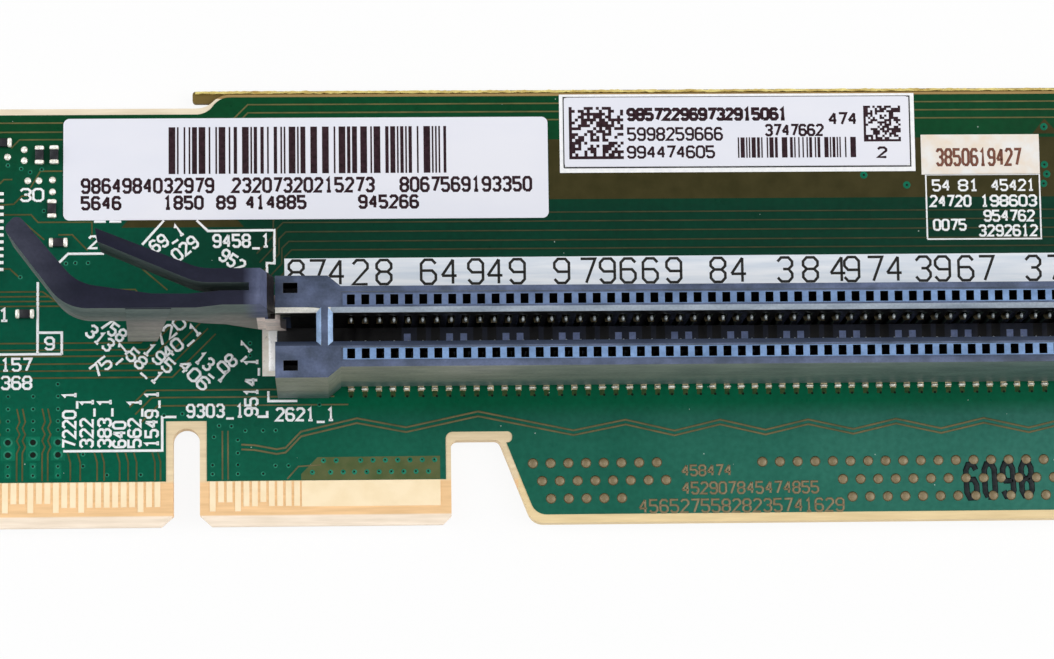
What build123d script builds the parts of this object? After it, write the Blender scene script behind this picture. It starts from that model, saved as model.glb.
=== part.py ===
from build123d import *
import math
import os

# A server riser card, lying on its back: a narrow printed board whose lower
# edge is a gold-fingered plug-in tongue, with a tall vertical card slot along
# its middle and a side-swinging card latch at the slot's left end.
# Millimetres. X runs along the board, Y from the tongue to the top edge and
# Z out of the component face. The origin is under the middle of the board,
# on its back face.

# Board outline
board_length = 145.0
board_height = 31.6
board_thickness = 1.6
mask_thickness = 0.05
corner_radius = 1.0

# Top edge: a low stretch on the left, then the stretch that was snapped off
# a panel along a score line and kept a thin web
low_edge_drop = 1.0
low_edge_length = 39.1
rise_run = 2.4
web_reach = 0.35
web_width = 0.9
web_thickness = 0.45
web_spur_length = 2.7
web_end_radius = 0.25

# Solder mask, held back from every routed edge
mask_end_inset = 0.5
mask_top_inset = 0.45
mask_snapped_inset = 0.2
mask_bottom_inset = 0.6
mask_relief_margin = 0.37
mask_relief_top = 0.6
mask_slant_margin = 0.45
mask_nib_reach = 1.0
mask_nib_width = 0.8
mask_notch_side = 0.5
mask_notch_top = 0.52
mask_hole_margin = 0.4

# Tongue, with its notch and the relief at each end
finger_pitch = 0.6
finger_width = 0.42
finger_thickness = mask_thickness
finger_start = 3.18
finger_long = 2.15
finger_medium = 1.8
finger_short = 1.5
left_finger_count = 28
first_finger_inset = 20.08
right_finger_count = 11
left_long_fingers = (9, 12, 15, 18, 25)
left_short_fingers = (10, 11, 13, 14)
right_long_fingers = (0, 3)
right_short_fingers = (1, 2, 6)
power_pad_length = 9.9
power_pad_height = 1.85
power_pad_gap = 0.12
bare_zone_height = 3.2
tongue_end_margin = 0.77
bevel_height = 0.7
bevel_depth = 0.42
notch_width = 1.9
notch_depth = 7.0
left_bank_gap = 2.06
right_bank_gap = 1.86
notch_mouth_width = 0.84
notch_mouth_height = 0.8
relief_width = 3.45
relief_depth = 6.0
relief_slant = 2.35
relief_corner_radius = 0.5
relief_foot_radius = 1.15
tongue_chamfer = 0.6

# Screw holes, one near each end
screw_hole_radius = 1.6
screw_hole_inset = 4.0

# Card slot: contact 0 is the leftmost, beside the latch
slot_axis_y = -3.15
first_contact_x = -22.4
contact_pitch = 1.0
long_bank_count = 71
short_bank_count = 11
key_gap = 3.0
slot_height = 11.25
slot_half_width = 2.81
slot_standoff = 0.2
slot_foot_height = 3.0
slot_foot_half_width = 2.76
channel_half_width = 1.0
channel_floor = 3.5
channel_end_margin = 1.25
lead_in = 0.34
key_width = 1.7
slot_right_margin = 3.4
window_width = 0.55
window_height = 0.7
window_offset = 1.88
window_lip = 2.05
band_half_width = 2.42
band_depth = 0.1
peg_radius = 1.1
peg_clearance = 0.05
peg_length = 1.4
left_peg_x = 2.5
right_peg_x = 78.0

# End block that carries the latch
block_left = -5.23
block_right = -1.6
block_half_width = 3.55
block_slope = 0.9
divider_width = 0.8
divider_right = -1.25
square_hole_length = 1.0
square_hole_width = 0.72
square_hole_x = -4.17
square_hole_offset = 2.7
square_hole_depth = 2.6

# Contacts
contact_width = 0.42
contact_stock = 0.18
contact_foot_end = 3.12
contact_leg_offset = 1.89
contact_leg_top = 5.2
contact_tip_offset = 0.66
contact_tip_height = 7.9

# Hold-downs, one sheet-metal angle at each end of the slot
hold_down_foot = 0.65
hold_down_width = 3.2
hold_down_leg_width = 3.0
hold_down_leg_height = 2.9
hold_down_stock = 0.25

# Card latch. Heights are above the board's face.
latch_top = 16.0
latch_hinge_x = -4.65
latch_hinge_y = 2.6
latch_pin_radius = 0.5
latch_bore_clearance = 0.05
latch_bore_height = 7.5
latch_end_gap = 0.3
latch_neck_width = 0.4
latch_swing = 20.0
latch_side_y = 0.85
latch_back_y = 3.35
latch_gap = 0.32
latch_root_length = 4.4
latch_arm_overlap = 1.25
latch_root_chamfer = 0.5
latch_foot_inset = 0.55
latch_root_bottom = 4.0
latch_lever_bottom = 10.0
latch_spring_bottom = 11.5
latch_ramp_length = 0.9
latch_ramp_drop = 4.0
latch_overhang_bottom = 11.6
latch_overhang_gap = 0.05
latch_under_start = 0.8
latch_under_run = 5.2
latch_slot_width = 0.55
latch_slot_end_x = -6.9
latch_leg_top_width = 3.1
latch_leg_foot_width = 2.1
latch_leg_foot_x = -14.85
latch_leg_top_x = -13.7
latch_leg_drop = 0.15
latch_leg_side_y = 0.6
latch_leg_back_y = 1.5
latch_nose_side_y = 0.75
latch_nose_back_y = 1.45
latch_nose_root = 0.4
latch_nose_slope = 0.6
latch_nose_reach = 0.3
latch_tooth_reach = 0.68
latch_tooth_height = 1.5
latch_nose_top = 9.8
nose_recess_clearance = 0.35

# Plan of the latch's two arms, from the root towards their tips
lever_near_side = ((-10.5, 0.66), (-19.3, 0.66), (-23.5, 6.2))
lever_far_side = ((-22.56, 7.2), (-18.5, 2.4), (-13.5, 1.65), (-11.0, 1.62))
lever_bend_radius = 3.0
lever_tip_radius = 0.5
spring_outer_side = ((-10.2, 3.35), (-17.3, 6.17))
spring_inner_side = ((-17.15, 5.23), (-10.4, 2.38))
spring_bend_radius = 4.0

# Controller: a flat package with gull-wing leads on four sides
chip_inset = 20.8
chip_drop = 10.3
chip_body_side = 7.0
chip_body_height = 1.4
chip_body_standoff = 0.1
chip_span = 9.0
chip_lead_pitch = 0.5
chip_leads_per_side = 12
chip_lead_width = 0.22
chip_lead_stock = 0.13
chip_lead_shoulder = 0.25
chip_draft = 6.0

# Chip resistors: how far the centre stands left of the large label and below
# the top edge, and whether the long side runs along y
resistor_length = 1.35
resistor_width = 0.6
resistor_height = 0.45
terminal_length = 0.32
terminal_stock = 0.04
resistor_places = (
    (1.7, 4.77, True),
    (0.65, 4.75, True),
    (0.8, 8.68, True),
    (0.33, 11.15, False),
    (2.7, 16.3, False),
    (4.35, 3.85, False),
)

# Labels: the drop is from the top edge to the label's middle
label_thickness = 0.1
large_label_inset = 29.55
large_label_length = 34.9
large_label_height = 7.42
large_label_drop = 5.81
large_label_radius = 0.45
label_gap = 1.2
small_label_length = 25.1
small_label_height = 5.1
small_label_drop = 3.25
small_label_radius = 0.25

face_z = board_thickness
bottom_y = -board_height / 2
top_y = board_height / 2
snapped_edge_y = top_y - web_reach
low_edge_y = snapped_edge_y - low_edge_drop
left_x = -board_length / 2
right_x = board_length / 2
low_edge_end_x = left_x + low_edge_length
left_first_finger_x = left_x + first_finger_inset
left_last_finger_x = left_first_finger_x + (left_finger_count - 1) * finger_pitch
notch_x = left_last_finger_x + left_bank_gap
right_first_finger_x = notch_x + right_bank_gap
right_last_finger_x = right_first_finger_x + (right_finger_count - 1) * finger_pitch
power_pad_left = right_last_finger_x + finger_width / 2 + power_pad_gap
tongue_left_x = left_first_finger_x - finger_width / 2 - tongue_end_margin
tongue_right_x = power_pad_left + power_pad_length + tongue_end_margin
finger_top_y = bottom_y + finger_start
chip_x = left_x + chip_inset
chip_y = top_y - chip_drop
large_label_left = left_x + large_label_inset
small_label_left = large_label_left + large_label_length + label_gap
long_bank_end = (long_bank_count - 1) * contact_pitch
short_bank_start = long_bank_end + key_gap
last_contact = short_bank_start + (short_bank_count - 1) * contact_pitch
slot_right = last_contact + slot_right_margin
slot_place = Pos(first_contact_x, slot_axis_y, face_z)


def box(x0, x1, y0, y1, z0, z1):
    """A block between the given limits."""
    size = Box(x1 - x0, y1 - y0, z1 - z0)
    return Pos((x0 + x1) / 2, (y0 + y1) / 2, (z0 + z1) / 2) * size


def group(solids, place=Pos(0, 0, 0)):
    """Separate like solids in one node, each moved to its place."""
    return Compound(children=[place * solid for solid in solids])


def along_x(points, x0, x1):
    """A prism whose (y, z) outline runs from x0 to x1."""
    outline = make_face(Polyline(*[(x0, y, z) for y, z in points], close=True))
    return extrude(outline, x1 - x0, dir=(1, 0, 0))


def along_y(points, y0, y1):
    """A prism whose (x, z) outline runs from y0 to y1."""
    outline = make_face(Polyline(*[(x, y0, z) for x, z in points], close=True))
    return extrude(outline, y1 - y0, dir=(0, 1, 0))


def round_corners(shape, corners, radius):
    """Round the outline's vertices nearest to the given corners."""
    picked = [shape.vertices().sort_by_distance((x, y, 0))[0] for x, y in corners]
    return fillet(picked, radius)


def tongue_relief(x, side):
    """The gap beyond one end of the tongue; side is +1 to its right, -1 to its left."""
    top = bottom_y + relief_depth
    far = x + side * relief_width
    points = [
        (x, top),
        (far, top),
        (far + side * relief_slant, bottom_y),
        (x - side * tongue_chamfer, bottom_y),
        (x, bottom_y + tongue_chamfer),
    ]
    gap = make_face(Polyline(*points, close=True))
    return round_corners(gap, [(x, top), (far, top)], relief_corner_radius)


def relief_clearing(x, side):
    """Where the mask is held back round one relief, with the stub of the cutter's path beyond its corner."""
    top = bottom_y + relief_depth + mask_relief_top
    near = x - side * mask_relief_margin
    far = x + side * (relief_width + mask_slant_margin)
    stub_end = far + side * mask_nib_reach / 2
    slope = relief_slant / relief_depth
    points = [
        (near, top),
        (far - side * mask_relief_top * slope, top),
        (far + side * relief_slant, bottom_y),
        (near, bottom_y),
    ]
    clearing = make_face(Polyline(*points, close=True))
    clearing = round_corners(clearing, [(near, top)], relief_corner_radius)
    stub = RectangleRounded(mask_nib_reach * 2, mask_nib_width, mask_nib_width / 2 - mask_thickness)
    return clearing + Pos(stub_end - side * mask_nib_reach, top - mask_nib_width / 2) * stub


def tongue_notch():
    """The round-topped notch between the two banks of fingers."""
    half = notch_width / 2
    top = bottom_y + notch_depth - half
    mouth = half + notch_mouth_width
    sides = Polyline(
        (notch_x - half, top),
        (notch_x - half, bottom_y + notch_mouth_height),
        (notch_x - mouth, bottom_y),
        (notch_x + mouth, bottom_y),
        (notch_x + half, bottom_y + notch_mouth_height),
        (notch_x + half, top),
    )
    crown = ThreePointArc((notch_x + half, top), (notch_x, top + half), (notch_x - half, top))
    return make_face([sides, crown])


def panel(ends, bottom, low_top, high_top):
    """The board's plan inside the given insets, with the curved rise in its top edge."""
    left = left_x + ends
    right = right_x - ends
    low = low_edge_y - low_top
    high = snapped_edge_y - high_top
    rise_end = low_edge_end_x + rise_run
    middle = (low_edge_end_x + rise_run / 2, (low + high) / 2)
    lower_arc = TangentArc((low_edge_end_x, low), middle, tangent=(1, 0))
    upper_arc = TangentArc((rise_end, high), middle, tangent=(-1, 0))
    rest = Polyline(
        (rise_end, high),
        (right, high),
        (right, bottom_y + bottom),
        (left, bottom_y + bottom),
        (left, low),
        (low_edge_end_x, low),
    )
    outline = make_face([lower_arc, upper_arc, rest])
    corners = [(right, bottom_y + bottom), (left, bottom_y + bottom), (left, low)]
    return round_corners(outline, corners, corner_radius)


def board_outline():
    """The routed outline with its tongue, reliefs and notch."""
    outline = panel(0, 0, 0, 0)
    feet = []
    for x, side in ((tongue_right_x, 1), (tongue_left_x, -1)):
        outline -= tongue_relief(x, side)
        feet.append((x + side * (relief_width + relief_slant), bottom_y))
    return round_corners(outline, feet, relief_foot_radius) - tongue_notch()


def screw_holes(radius):
    """Cutters for the screw holes near the board's two ends."""
    hole = Cylinder(radius, board_thickness)
    places = (left_x + screw_hole_inset, right_x - screw_hole_inset)
    return [Pos(x, 0, board_thickness / 2) * hole for x in places]


def peg_openings(hole):
    """Cutters of the given shape round the slot's two locating pegs."""
    places = (first_contact_x + left_peg_x, first_contact_x + right_peg_x)
    return [Pos(x, slot_axis_y, board_thickness / 2) * hole for x in places]


def circuit_board():
    """The glass laminate with its bevelled tongue, holes and snapped web."""
    low = mask_thickness
    high = board_thickness - mask_thickness
    board = Pos(0, 0, low) * extrude(board_outline(), high - low)
    web_left = low_edge_end_x + rise_run - web_spur_length
    web_bottom = top_y - web_width
    web = Rectangle(right_x - web_left, web_width)
    web = Pos((web_left + right_x) / 2, (web_bottom + top_y) / 2) * web
    web = round_corners(web, [(web_left, web_bottom), (web_left, top_y)], web_end_radius)
    board += Pos(0, 0, (board_thickness - web_thickness) / 2) * extrude(web, web_thickness)
    edge = bottom_y + bevel_height
    for near, far in ((low, low + bevel_depth), (high, high - bevel_depth)):
        bevel = [(bottom_y, near), (edge, near), (bottom_y, far)]
        board -= along_x(bevel, tongue_left_x, tongue_right_x)
    peg_hole = Cylinder(peg_radius + peg_clearance, board_thickness)
    return board - screw_holes(screw_hole_radius) - peg_openings(peg_hole)


def solder_mask(z):
    """One face's coat of solder mask, open over the finger zone and round the holes."""
    coat = panel(mask_end_inset, mask_bottom_inset, mask_top_inset, mask_snapped_inset)
    feet = []
    for x, side in ((tongue_right_x, 1), (tongue_left_x, -1)):
        coat -= relief_clearing(x, side)
        feet.append((x + side * (relief_width + relief_slant), bottom_y + mask_bottom_inset))
    coat = round_corners(coat, feet, relief_foot_radius)
    coat = Pos(0, 0, z) * extrude(coat, mask_thickness)
    half = notch_width / 2 + mask_notch_side
    zone_top = bottom_y + bare_zone_height
    notch_top = bottom_y + notch_depth + mask_notch_top
    coat -= box(tongue_left_x, tongue_right_x, bottom_y, zone_top, z, z + mask_thickness)
    coat -= box(notch_x - half, notch_x + half, bottom_y, notch_top, z, z + mask_thickness)
    side = 2 * (peg_radius + mask_hole_margin)
    peg_window = Box(side, side, board_thickness)
    return coat - screw_holes(screw_hole_radius + mask_hole_margin) - peg_openings(peg_window)


def finger_length(index, long_ones, short_ones):
    """How far one finger reaches towards the tongue's edge."""
    if index in long_ones:
        return finger_long
    if index in short_ones:
        return finger_short
    return finger_medium


def finger_row(z, staggered):
    """All the narrow fingers of one face; only the front ones are staggered."""
    banks = (
        (left_first_finger_x, left_finger_count, left_long_fingers, left_short_fingers),
        (right_first_finger_x, right_finger_count, right_long_fingers, right_short_fingers),
    )
    fingers = []
    for start, count, long_ones, short_ones in banks:
        for index in range(count):
            length = finger_length(index, long_ones, short_ones) if staggered else finger_medium
            x = start + index * finger_pitch
            half = finger_width / 2
            fingers.append(box(x - half, x + half, finger_top_y - length, finger_top_y, z, z + finger_thickness))
    return group(fingers)


def power_pad(z):
    """The wide contact that ends the row of fingers."""
    right = power_pad_left + power_pad_length
    return box(power_pad_left, right, finger_top_y - power_pad_height, finger_top_y, z, z + finger_thickness)


def contact_places():
    """The x of every contact, measured from the leftmost one."""
    places = [index * contact_pitch for index in range(long_bank_count)]
    return places + [short_bank_start + index * contact_pitch for index in range(short_bank_count)]


def channel(x0, x1):
    """A card channel with a sloped lead-in around its mouth."""
    top = slot_height
    trough = box(x0, x1, -channel_half_width, channel_half_width, channel_floor, top)
    mouth = Plane.XY.offset(top) * Rectangle(x1 - x0 + 2 * lead_in, 2 * (channel_half_width + lead_in))
    throat = Plane.XY.offset(top - lead_in) * Rectangle(x1 - x0, 2 * channel_half_width)
    funnel = loft([throat.face(), mouth.face()])
    return trough + Pos((x0 + x1) / 2, 0, 0) * funnel


def contact_cavity(x, side):
    """One contact's cell: a window in the face, open below to the channel."""
    near = window_offset - window_height / 2
    far = window_offset + window_height / 2
    lip = slot_height - window_lip
    outline = [
        (side * near, slot_height),
        (side * far, slot_height),
        (side * far, slot_standoff),
        (side * channel_half_width, slot_standoff),
        (side * channel_half_width, lip),
        (side * near, lip),
    ]
    return along_x(outline, x - window_width / 2, x + window_width / 2)


def latch_bore():
    """The hinge bore in the end block, open sideways for the latch's neck."""
    radius = latch_pin_radius + latch_bore_clearance
    bore = Pos(latch_hinge_x, latch_hinge_y, latch_bore_height / 2) * Cylinder(radius, latch_bore_height)
    reach = latch_hinge_x - block_left
    half = latch_neck_width / 2
    sweep = reach * math.tan(math.radians(latch_swing)) + half / math.cos(math.radians(latch_swing))
    low = latch_hinge_y - half - latch_bore_clearance
    high = latch_hinge_y + sweep + latch_bore_clearance
    return bore + box(block_left, latch_hinge_x, low, high, 0, latch_bore_height)


def end_block():
    """The wide block at the latch end, with its open pocket, hinge bore and square holes."""
    half = block_half_width
    neck = block_right + block_slope
    outline = Polyline(
        (block_left, -half),
        (block_right, -half),
        (neck, -slot_half_width),
        (neck, slot_half_width),
        (block_right, half),
        (block_left, half),
        close=True,
    )
    block = extrude(make_face(outline), slot_height)
    pocket_right = divider_right - divider_width - lead_in
    block -= channel(block_left - 1, pocket_right)
    nose_x = block_left + latch_tooth_reach + nose_recess_clearance
    nose_y = latch_nose_back_y + nose_recess_clearance
    nose_z = latch_nose_top + nose_recess_clearance
    block -= box(block_left, nose_x, 0, nose_y, channel_floor, nose_z)
    block -= latch_bore()
    for side in (-1, 1):
        x = square_hole_x
        y = side * square_hole_offset
        hole = Box(square_hole_length, square_hole_width, square_hole_depth)
        block -= Pos(x, y, slot_height - square_hole_depth / 2) * hole
    leg = hold_down_leg_width / 2
    return block - box(block_left, block_left + hold_down_stock, -leg, leg, 0, hold_down_leg_height)


def slot_housing():
    """The moulded slot: end block, two card channels, contact cells and locating pegs."""
    half = slot_half_width
    foot = slot_foot_half_width
    left = block_right + block_slope
    bar = box(left, slot_right, -half, half, slot_foot_height, slot_height)
    bar += box(left, slot_right, -foot, foot, slot_standoff, slot_foot_height)
    tail = slot_right - hold_down_stock
    bar += box(last_contact + channel_end_margin, slot_right, -half, half, 0, slot_foot_height)
    leg = hold_down_leg_width / 2
    bar -= box(tail, slot_right, -leg, leg, 0, hold_down_leg_height)
    near = window_offset - window_height / 2
    band_end = last_contact + channel_end_margin
    for side in (-1, 1):
        low, high = sorted((side * (near - lead_in / 4), side * band_half_width))
        bar -= box(left, band_end, low, high, slot_height - band_depth, slot_height)
    housing = end_block() + bar
    key_x = long_bank_end + key_gap / 2
    housing -= channel(divider_right, key_x - key_width / 2)
    housing -= channel(key_x + key_width / 2, last_contact + channel_end_margin)
    cells = [contact_cavity(x, side) for x in contact_places() for side in (-1, 1)]
    housing -= cells
    for x in (left_peg_x, right_peg_x):
        peg = Cylinder(peg_radius, peg_length + slot_standoff)
        housing += Pos(x, 0, (slot_standoff - peg_length) / 2) * peg
    return slot_place * housing


def contact_row(side):
    """One row of spring contacts: a solder foot, a leg and a beam that leans into the channel."""
    outer = contact_leg_offset + contact_stock / 2
    inner = contact_leg_offset - contact_stock / 2
    outline = [
        (side * contact_foot_end, 0),
        (side * outer, contact_stock),
        (side * outer, contact_leg_top),
        (side * contact_tip_offset, contact_tip_height),
        (side * inner, contact_leg_top - contact_stock),
        (side * inner, 0),
    ]
    half = contact_width / 2
    contacts = [along_x(outline, x - half, x + half) for x in contact_places()]
    return group(contacts, slot_place)


def hold_down(wall_x, side):
    """A sheet-metal angle: its leg stands in the housing's end, its foot is soldered down."""
    leg_half = hold_down_leg_width / 2
    foot_half = hold_down_width / 2
    x0, x1 = sorted((wall_x, wall_x - side * hold_down_stock))
    angle = box(x0, x1, -leg_half, leg_half, 0, hold_down_leg_height)
    x0, x1 = sorted((wall_x, wall_x + side * hold_down_foot))
    return slot_place * (angle + box(x0, x1, -foot_half, foot_half, 0, hold_down_stock))


latch_end_x = block_left - latch_gap
latch_arm_x = latch_end_x - latch_root_length + latch_arm_overlap
latch_slot_low = (latch_side_y + latch_back_y - latch_slot_width) / 2
latch_slot_high = latch_slot_low + latch_slot_width


def lever_arm():
    """The latch's long lever: straight beside the card, then bent out to a rounded tip."""
    root = [(latch_arm_x, latch_slot_low), (latch_arm_x, latch_side_y)]
    arm = make_face(Polyline(*root, *lever_near_side, *lever_far_side, close=True))
    arm = round_corners(arm, [lever_near_side[-1], lever_far_side[0]], lever_tip_radius)
    return round_corners(arm, [lever_near_side[1], lever_far_side[1]], lever_bend_radius)


def spring_arm():
    """The latch's thin upper arm, leaning away from the lever."""
    root = [(latch_arm_x, latch_slot_high), (latch_arm_x, latch_back_y)]
    arm = make_face(Polyline(*root, *spring_outer_side, *spring_inner_side, close=True))
    return round_corners(arm, [spring_outer_side[0], spring_inner_side[-1]], spring_bend_radius)


def latch_root():
    """The root block with its sloped top end, hinge pin and neck."""
    ramp_x = latch_end_x + latch_gap - latch_ramp_length
    overhang_x = latch_end_x + latch_gap - latch_overhang_gap
    profile = [
        (latch_arm_x, latch_root_bottom),
        (latch_end_x, latch_root_bottom),
        (latch_end_x, latch_overhang_bottom),
        (overhang_x, latch_overhang_bottom),
        (overhang_x, latch_top - latch_ramp_drop),
        (ramp_x, latch_top),
        (latch_arm_x, latch_top),
    ]
    root = along_y(profile, latch_side_y, latch_back_y)
    cut_y = latch_back_y - latch_root_chamfer
    corner = [
        (latch_end_x - latch_foot_inset, latch_back_y),
        (latch_end_x, cut_y),
        (overhang_x, cut_y),
        (overhang_x, latch_back_y),
    ]
    relief = make_face(Polyline(*corner, close=True))
    root -= Pos(0, 0, latch_root_bottom) * extrude(relief, latch_overhang_bottom - latch_root_bottom)
    pin_top = latch_bore_height - latch_end_gap
    pin_height = pin_top - latch_end_gap
    foot_y = latch_hinge_y - latch_pin_radius
    foot_x = latch_end_x - latch_foot_inset
    root += box(latch_arm_x, foot_x, foot_y, latch_back_y, latch_end_gap, latch_root_bottom)
    half = latch_neck_width / 2
    neck_x = foot_x - latch_overhang_gap
    neck = box(neck_x, latch_hinge_x, latch_hinge_y - half, latch_hinge_y + half, latch_end_gap, pin_top)
    pin = Pos(latch_hinge_x, latch_hinge_y, latch_end_gap + pin_height / 2) * Cylinder(latch_pin_radius, pin_height)
    return root + neck + pin


def latch_nose():
    """The nose that holds the card's hook, with a tooth at its foot."""
    face = block_left
    back = latch_end_x - latch_nose_root
    outline = [
        (back, latch_root_bottom),
        (face + latch_tooth_reach, latch_root_bottom),
        (face + latch_tooth_reach, latch_root_bottom + latch_tooth_height / 2),
        (face + latch_nose_reach, latch_root_bottom + latch_tooth_height),
        (face + latch_nose_reach, latch_nose_top - latch_nose_slope),
        (face, latch_nose_top),
        (back, latch_nose_top),
    ]
    return along_y(outline, latch_nose_side_y, latch_nose_back_y)


def card_latch():
    """The whole latch: root, lever, spring arm, support leg and nose."""
    tip_x = lever_near_side[-1][0]
    tip_y = lever_far_side[0][1]
    under_x = latch_end_x - latch_under_start
    underside = [
        (under_x, latch_root_bottom),
        (under_x - latch_under_run, latch_lever_bottom),
        (tip_x, latch_lever_bottom),
        (tip_x, latch_root_bottom),
    ]
    root = latch_root() - along_y(underside, 0, latch_hinge_y - latch_pin_radius)
    lever = Pos(0, 0, latch_root_bottom) * extrude(lever_arm(), latch_top - latch_root_bottom)
    lever -= along_y(underside, 0, tip_y)
    spring = Pos(0, 0, latch_spring_bottom) * extrude(spring_arm(), latch_top - latch_spring_bottom)
    foot_half = latch_leg_foot_width / 2
    top_half = latch_leg_top_width / 2
    leg_top = latch_top - latch_leg_drop
    leg_outline = [
        (latch_leg_foot_x - foot_half, latch_end_gap),
        (latch_leg_foot_x + foot_half, latch_end_gap),
        (latch_leg_top_x + top_half, leg_top),
        (latch_leg_top_x - top_half, leg_top),
    ]
    leg = along_y(leg_outline, latch_leg_side_y, latch_leg_back_y)
    slit = box(latch_arm_x, latch_slot_end_x, latch_slot_low, latch_slot_high, latch_root_bottom, latch_top)
    return slot_place * (root + lever + spring + leg + latch_nose() - slit)


def controller_body():
    """The controller's moulded body, drafted above and below its leads."""
    half = chip_body_height / 2
    square = Rectangle(chip_body_side, chip_body_side)
    upper = extrude(square, half, taper=chip_draft)
    lower = extrude(square, -half, taper=chip_draft)
    return Pos(chip_x, chip_y, face_z + chip_body_standoff + half) * (upper + lower)


def controller_leads():
    """Gull-wing leads on all four sides."""
    body = chip_body_side / 2
    tip = chip_span / 2
    exit_z = chip_body_standoff + chip_body_height / 2
    bend = body + chip_lead_shoulder
    toe = bend + chip_lead_stock
    stock = chip_lead_stock
    outline = [
        (body, exit_z - stock / 2),
        (bend, exit_z - stock / 2),
        (bend, 0),
        (tip, 0),
        (tip, stock),
        (toe, stock),
        (toe, exit_z + stock / 2),
        (body, exit_z + stock / 2),
    ]
    leads = []
    half = chip_lead_width / 2
    first = -(chip_leads_per_side - 1) / 2 * chip_lead_pitch
    for turn in range(4):
        for index in range(chip_leads_per_side):
            y = first + index * chip_lead_pitch
            leads.append(Rot(0, 0, 90 * turn) * along_y(outline, y - half, y + half))
    return group(leads, Pos(chip_x, chip_y, face_z))


def resistor_location(place):
    left_of_label, drop, upright = place
    turn = Rot(0, 0, 90 if upright else 0)
    return Pos(large_label_left - left_of_label, top_y - drop, face_z) * turn


def resistor_bodies():
    """The ceramic blocks between the solder terminals."""
    half = resistor_length / 2 - terminal_length
    side = resistor_width / 2
    block = box(-half, half, -side, side, terminal_stock, resistor_height)
    return group([resistor_location(place) * block for place in resistor_places])


def resistor_terminals():
    """Solder-covered end caps, two to each resistor."""
    end = resistor_length / 2
    side = resistor_width / 2 + terminal_stock
    top = resistor_height + terminal_stock
    caps = []
    for place in resistor_places:
        for x0, x1 in ((-end, -end + terminal_length), (end - terminal_length, end)):
            caps.append(resistor_location(place) * box(x0, x1, -side, side, 0, top))
    return group(caps)


def label(left, drop, length, height, radius):
    """A thin sticker with rounded corners on the board's face."""
    sheet = extrude(RectangleRounded(length, height, radius), label_thickness)
    return Pos(left + length / 2, top_y - drop, face_z) * sheet


def build():
    """Every sub-part by its name."""
    front_z = board_thickness - mask_thickness
    large = (large_label_left, large_label_drop, large_label_length, large_label_height)
    small = (small_label_left, small_label_drop, small_label_length, small_label_height)
    return {
        "circuit_board": circuit_board(),
        "solder_mask_front": solder_mask(front_z),
        "solder_mask_back": solder_mask(0),
        "edge_fingers_front": finger_row(front_z, True),
        "edge_fingers_back": finger_row(0, False),
        "power_pad_front": power_pad(front_z),
        "power_pad_back": power_pad(0),
        "slot_housing": slot_housing(),
        "slot_contacts_upper": contact_row(1),
        "slot_contacts_lower": contact_row(-1),
        "slot_hold_down_left": hold_down(block_left, -1),
        "slot_hold_down_right": hold_down(slot_right, 1),
        "card_latch": card_latch(),
        "controller_body": controller_body(),
        "controller_leads": controller_leads(),
        "chip_resistor_bodies": resistor_bodies(),
        "chip_resistor_terminals": resistor_terminals(),
        "large_label": label(*large, large_label_radius),
        "small_label": label(*small, small_label_radius),
    }


os.makedirs("parts", exist_ok=True)
for name, shape in build().items():
    export_step(shape, f"parts/{name}.step")
    print(name, round(shape.volume, 3))
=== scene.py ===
import math
import random

import bmesh
import bpy
from mathutils import Matrix, Vector


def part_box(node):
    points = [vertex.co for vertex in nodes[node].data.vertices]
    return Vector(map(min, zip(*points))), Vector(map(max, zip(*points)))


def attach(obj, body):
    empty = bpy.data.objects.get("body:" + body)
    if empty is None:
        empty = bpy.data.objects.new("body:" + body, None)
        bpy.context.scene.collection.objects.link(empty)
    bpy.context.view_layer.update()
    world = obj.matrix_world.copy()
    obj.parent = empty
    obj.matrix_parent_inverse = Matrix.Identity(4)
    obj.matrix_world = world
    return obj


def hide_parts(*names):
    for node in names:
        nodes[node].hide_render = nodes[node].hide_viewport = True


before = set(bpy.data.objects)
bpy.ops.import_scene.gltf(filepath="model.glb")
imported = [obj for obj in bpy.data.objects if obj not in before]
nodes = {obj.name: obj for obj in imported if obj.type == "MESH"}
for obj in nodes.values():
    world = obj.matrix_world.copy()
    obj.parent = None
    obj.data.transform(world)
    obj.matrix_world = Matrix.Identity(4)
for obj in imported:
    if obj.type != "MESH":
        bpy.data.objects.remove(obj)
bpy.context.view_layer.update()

# Server riser card. Places are in millimetres in the frame of the solids, and mm makes metres of them.
mm = 0.001


def boxOf(name):
    low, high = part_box(name)
    return low / mm, high / mm


boardLow, boardHigh = boxOf("circuit_board")
slotLow, slotHigh = boxOf("slot_housing")
fingerLow = boxOf("edge_fingers_front")[0]
contactLow, contactHigh = boxOf("slot_contacts_lower")
latchHigh = boxOf("card_latch")[1]
largeHigh = boxOf("large_label")[1]
smallLow, smallHigh = boxOf("small_label")
faceZ = boxOf("solder_mask_front")[1].z
slotAxis = (slotLow.y + slotHigh.y) / 2
slotTop = slotHigh.z

# Contacts, as the slot has them
contacts = {"width": 0.42, "pitch": 1.0, "longBank": 71, "keyGap": 3.0, "shortBank": 11}
firstContact = contactLow.x + contacts["width"] / 2
shortStart = firstContact + (contacts["longBank"] - 1) * contacts["pitch"] + contacts["keyGap"]
contactXs = [firstContact + index * contacts["pitch"] for index in range(contacts["longBank"])]
contactXs += [shortStart + index * contacts["pitch"] for index in range(contacts["shortBank"])]


# Nodes of a material
def addNode(tree, kind, **settings):
    node = tree.nodes.new(kind)
    for key, value in settings.items():
        setattr(node, key, value)
    return node


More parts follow.
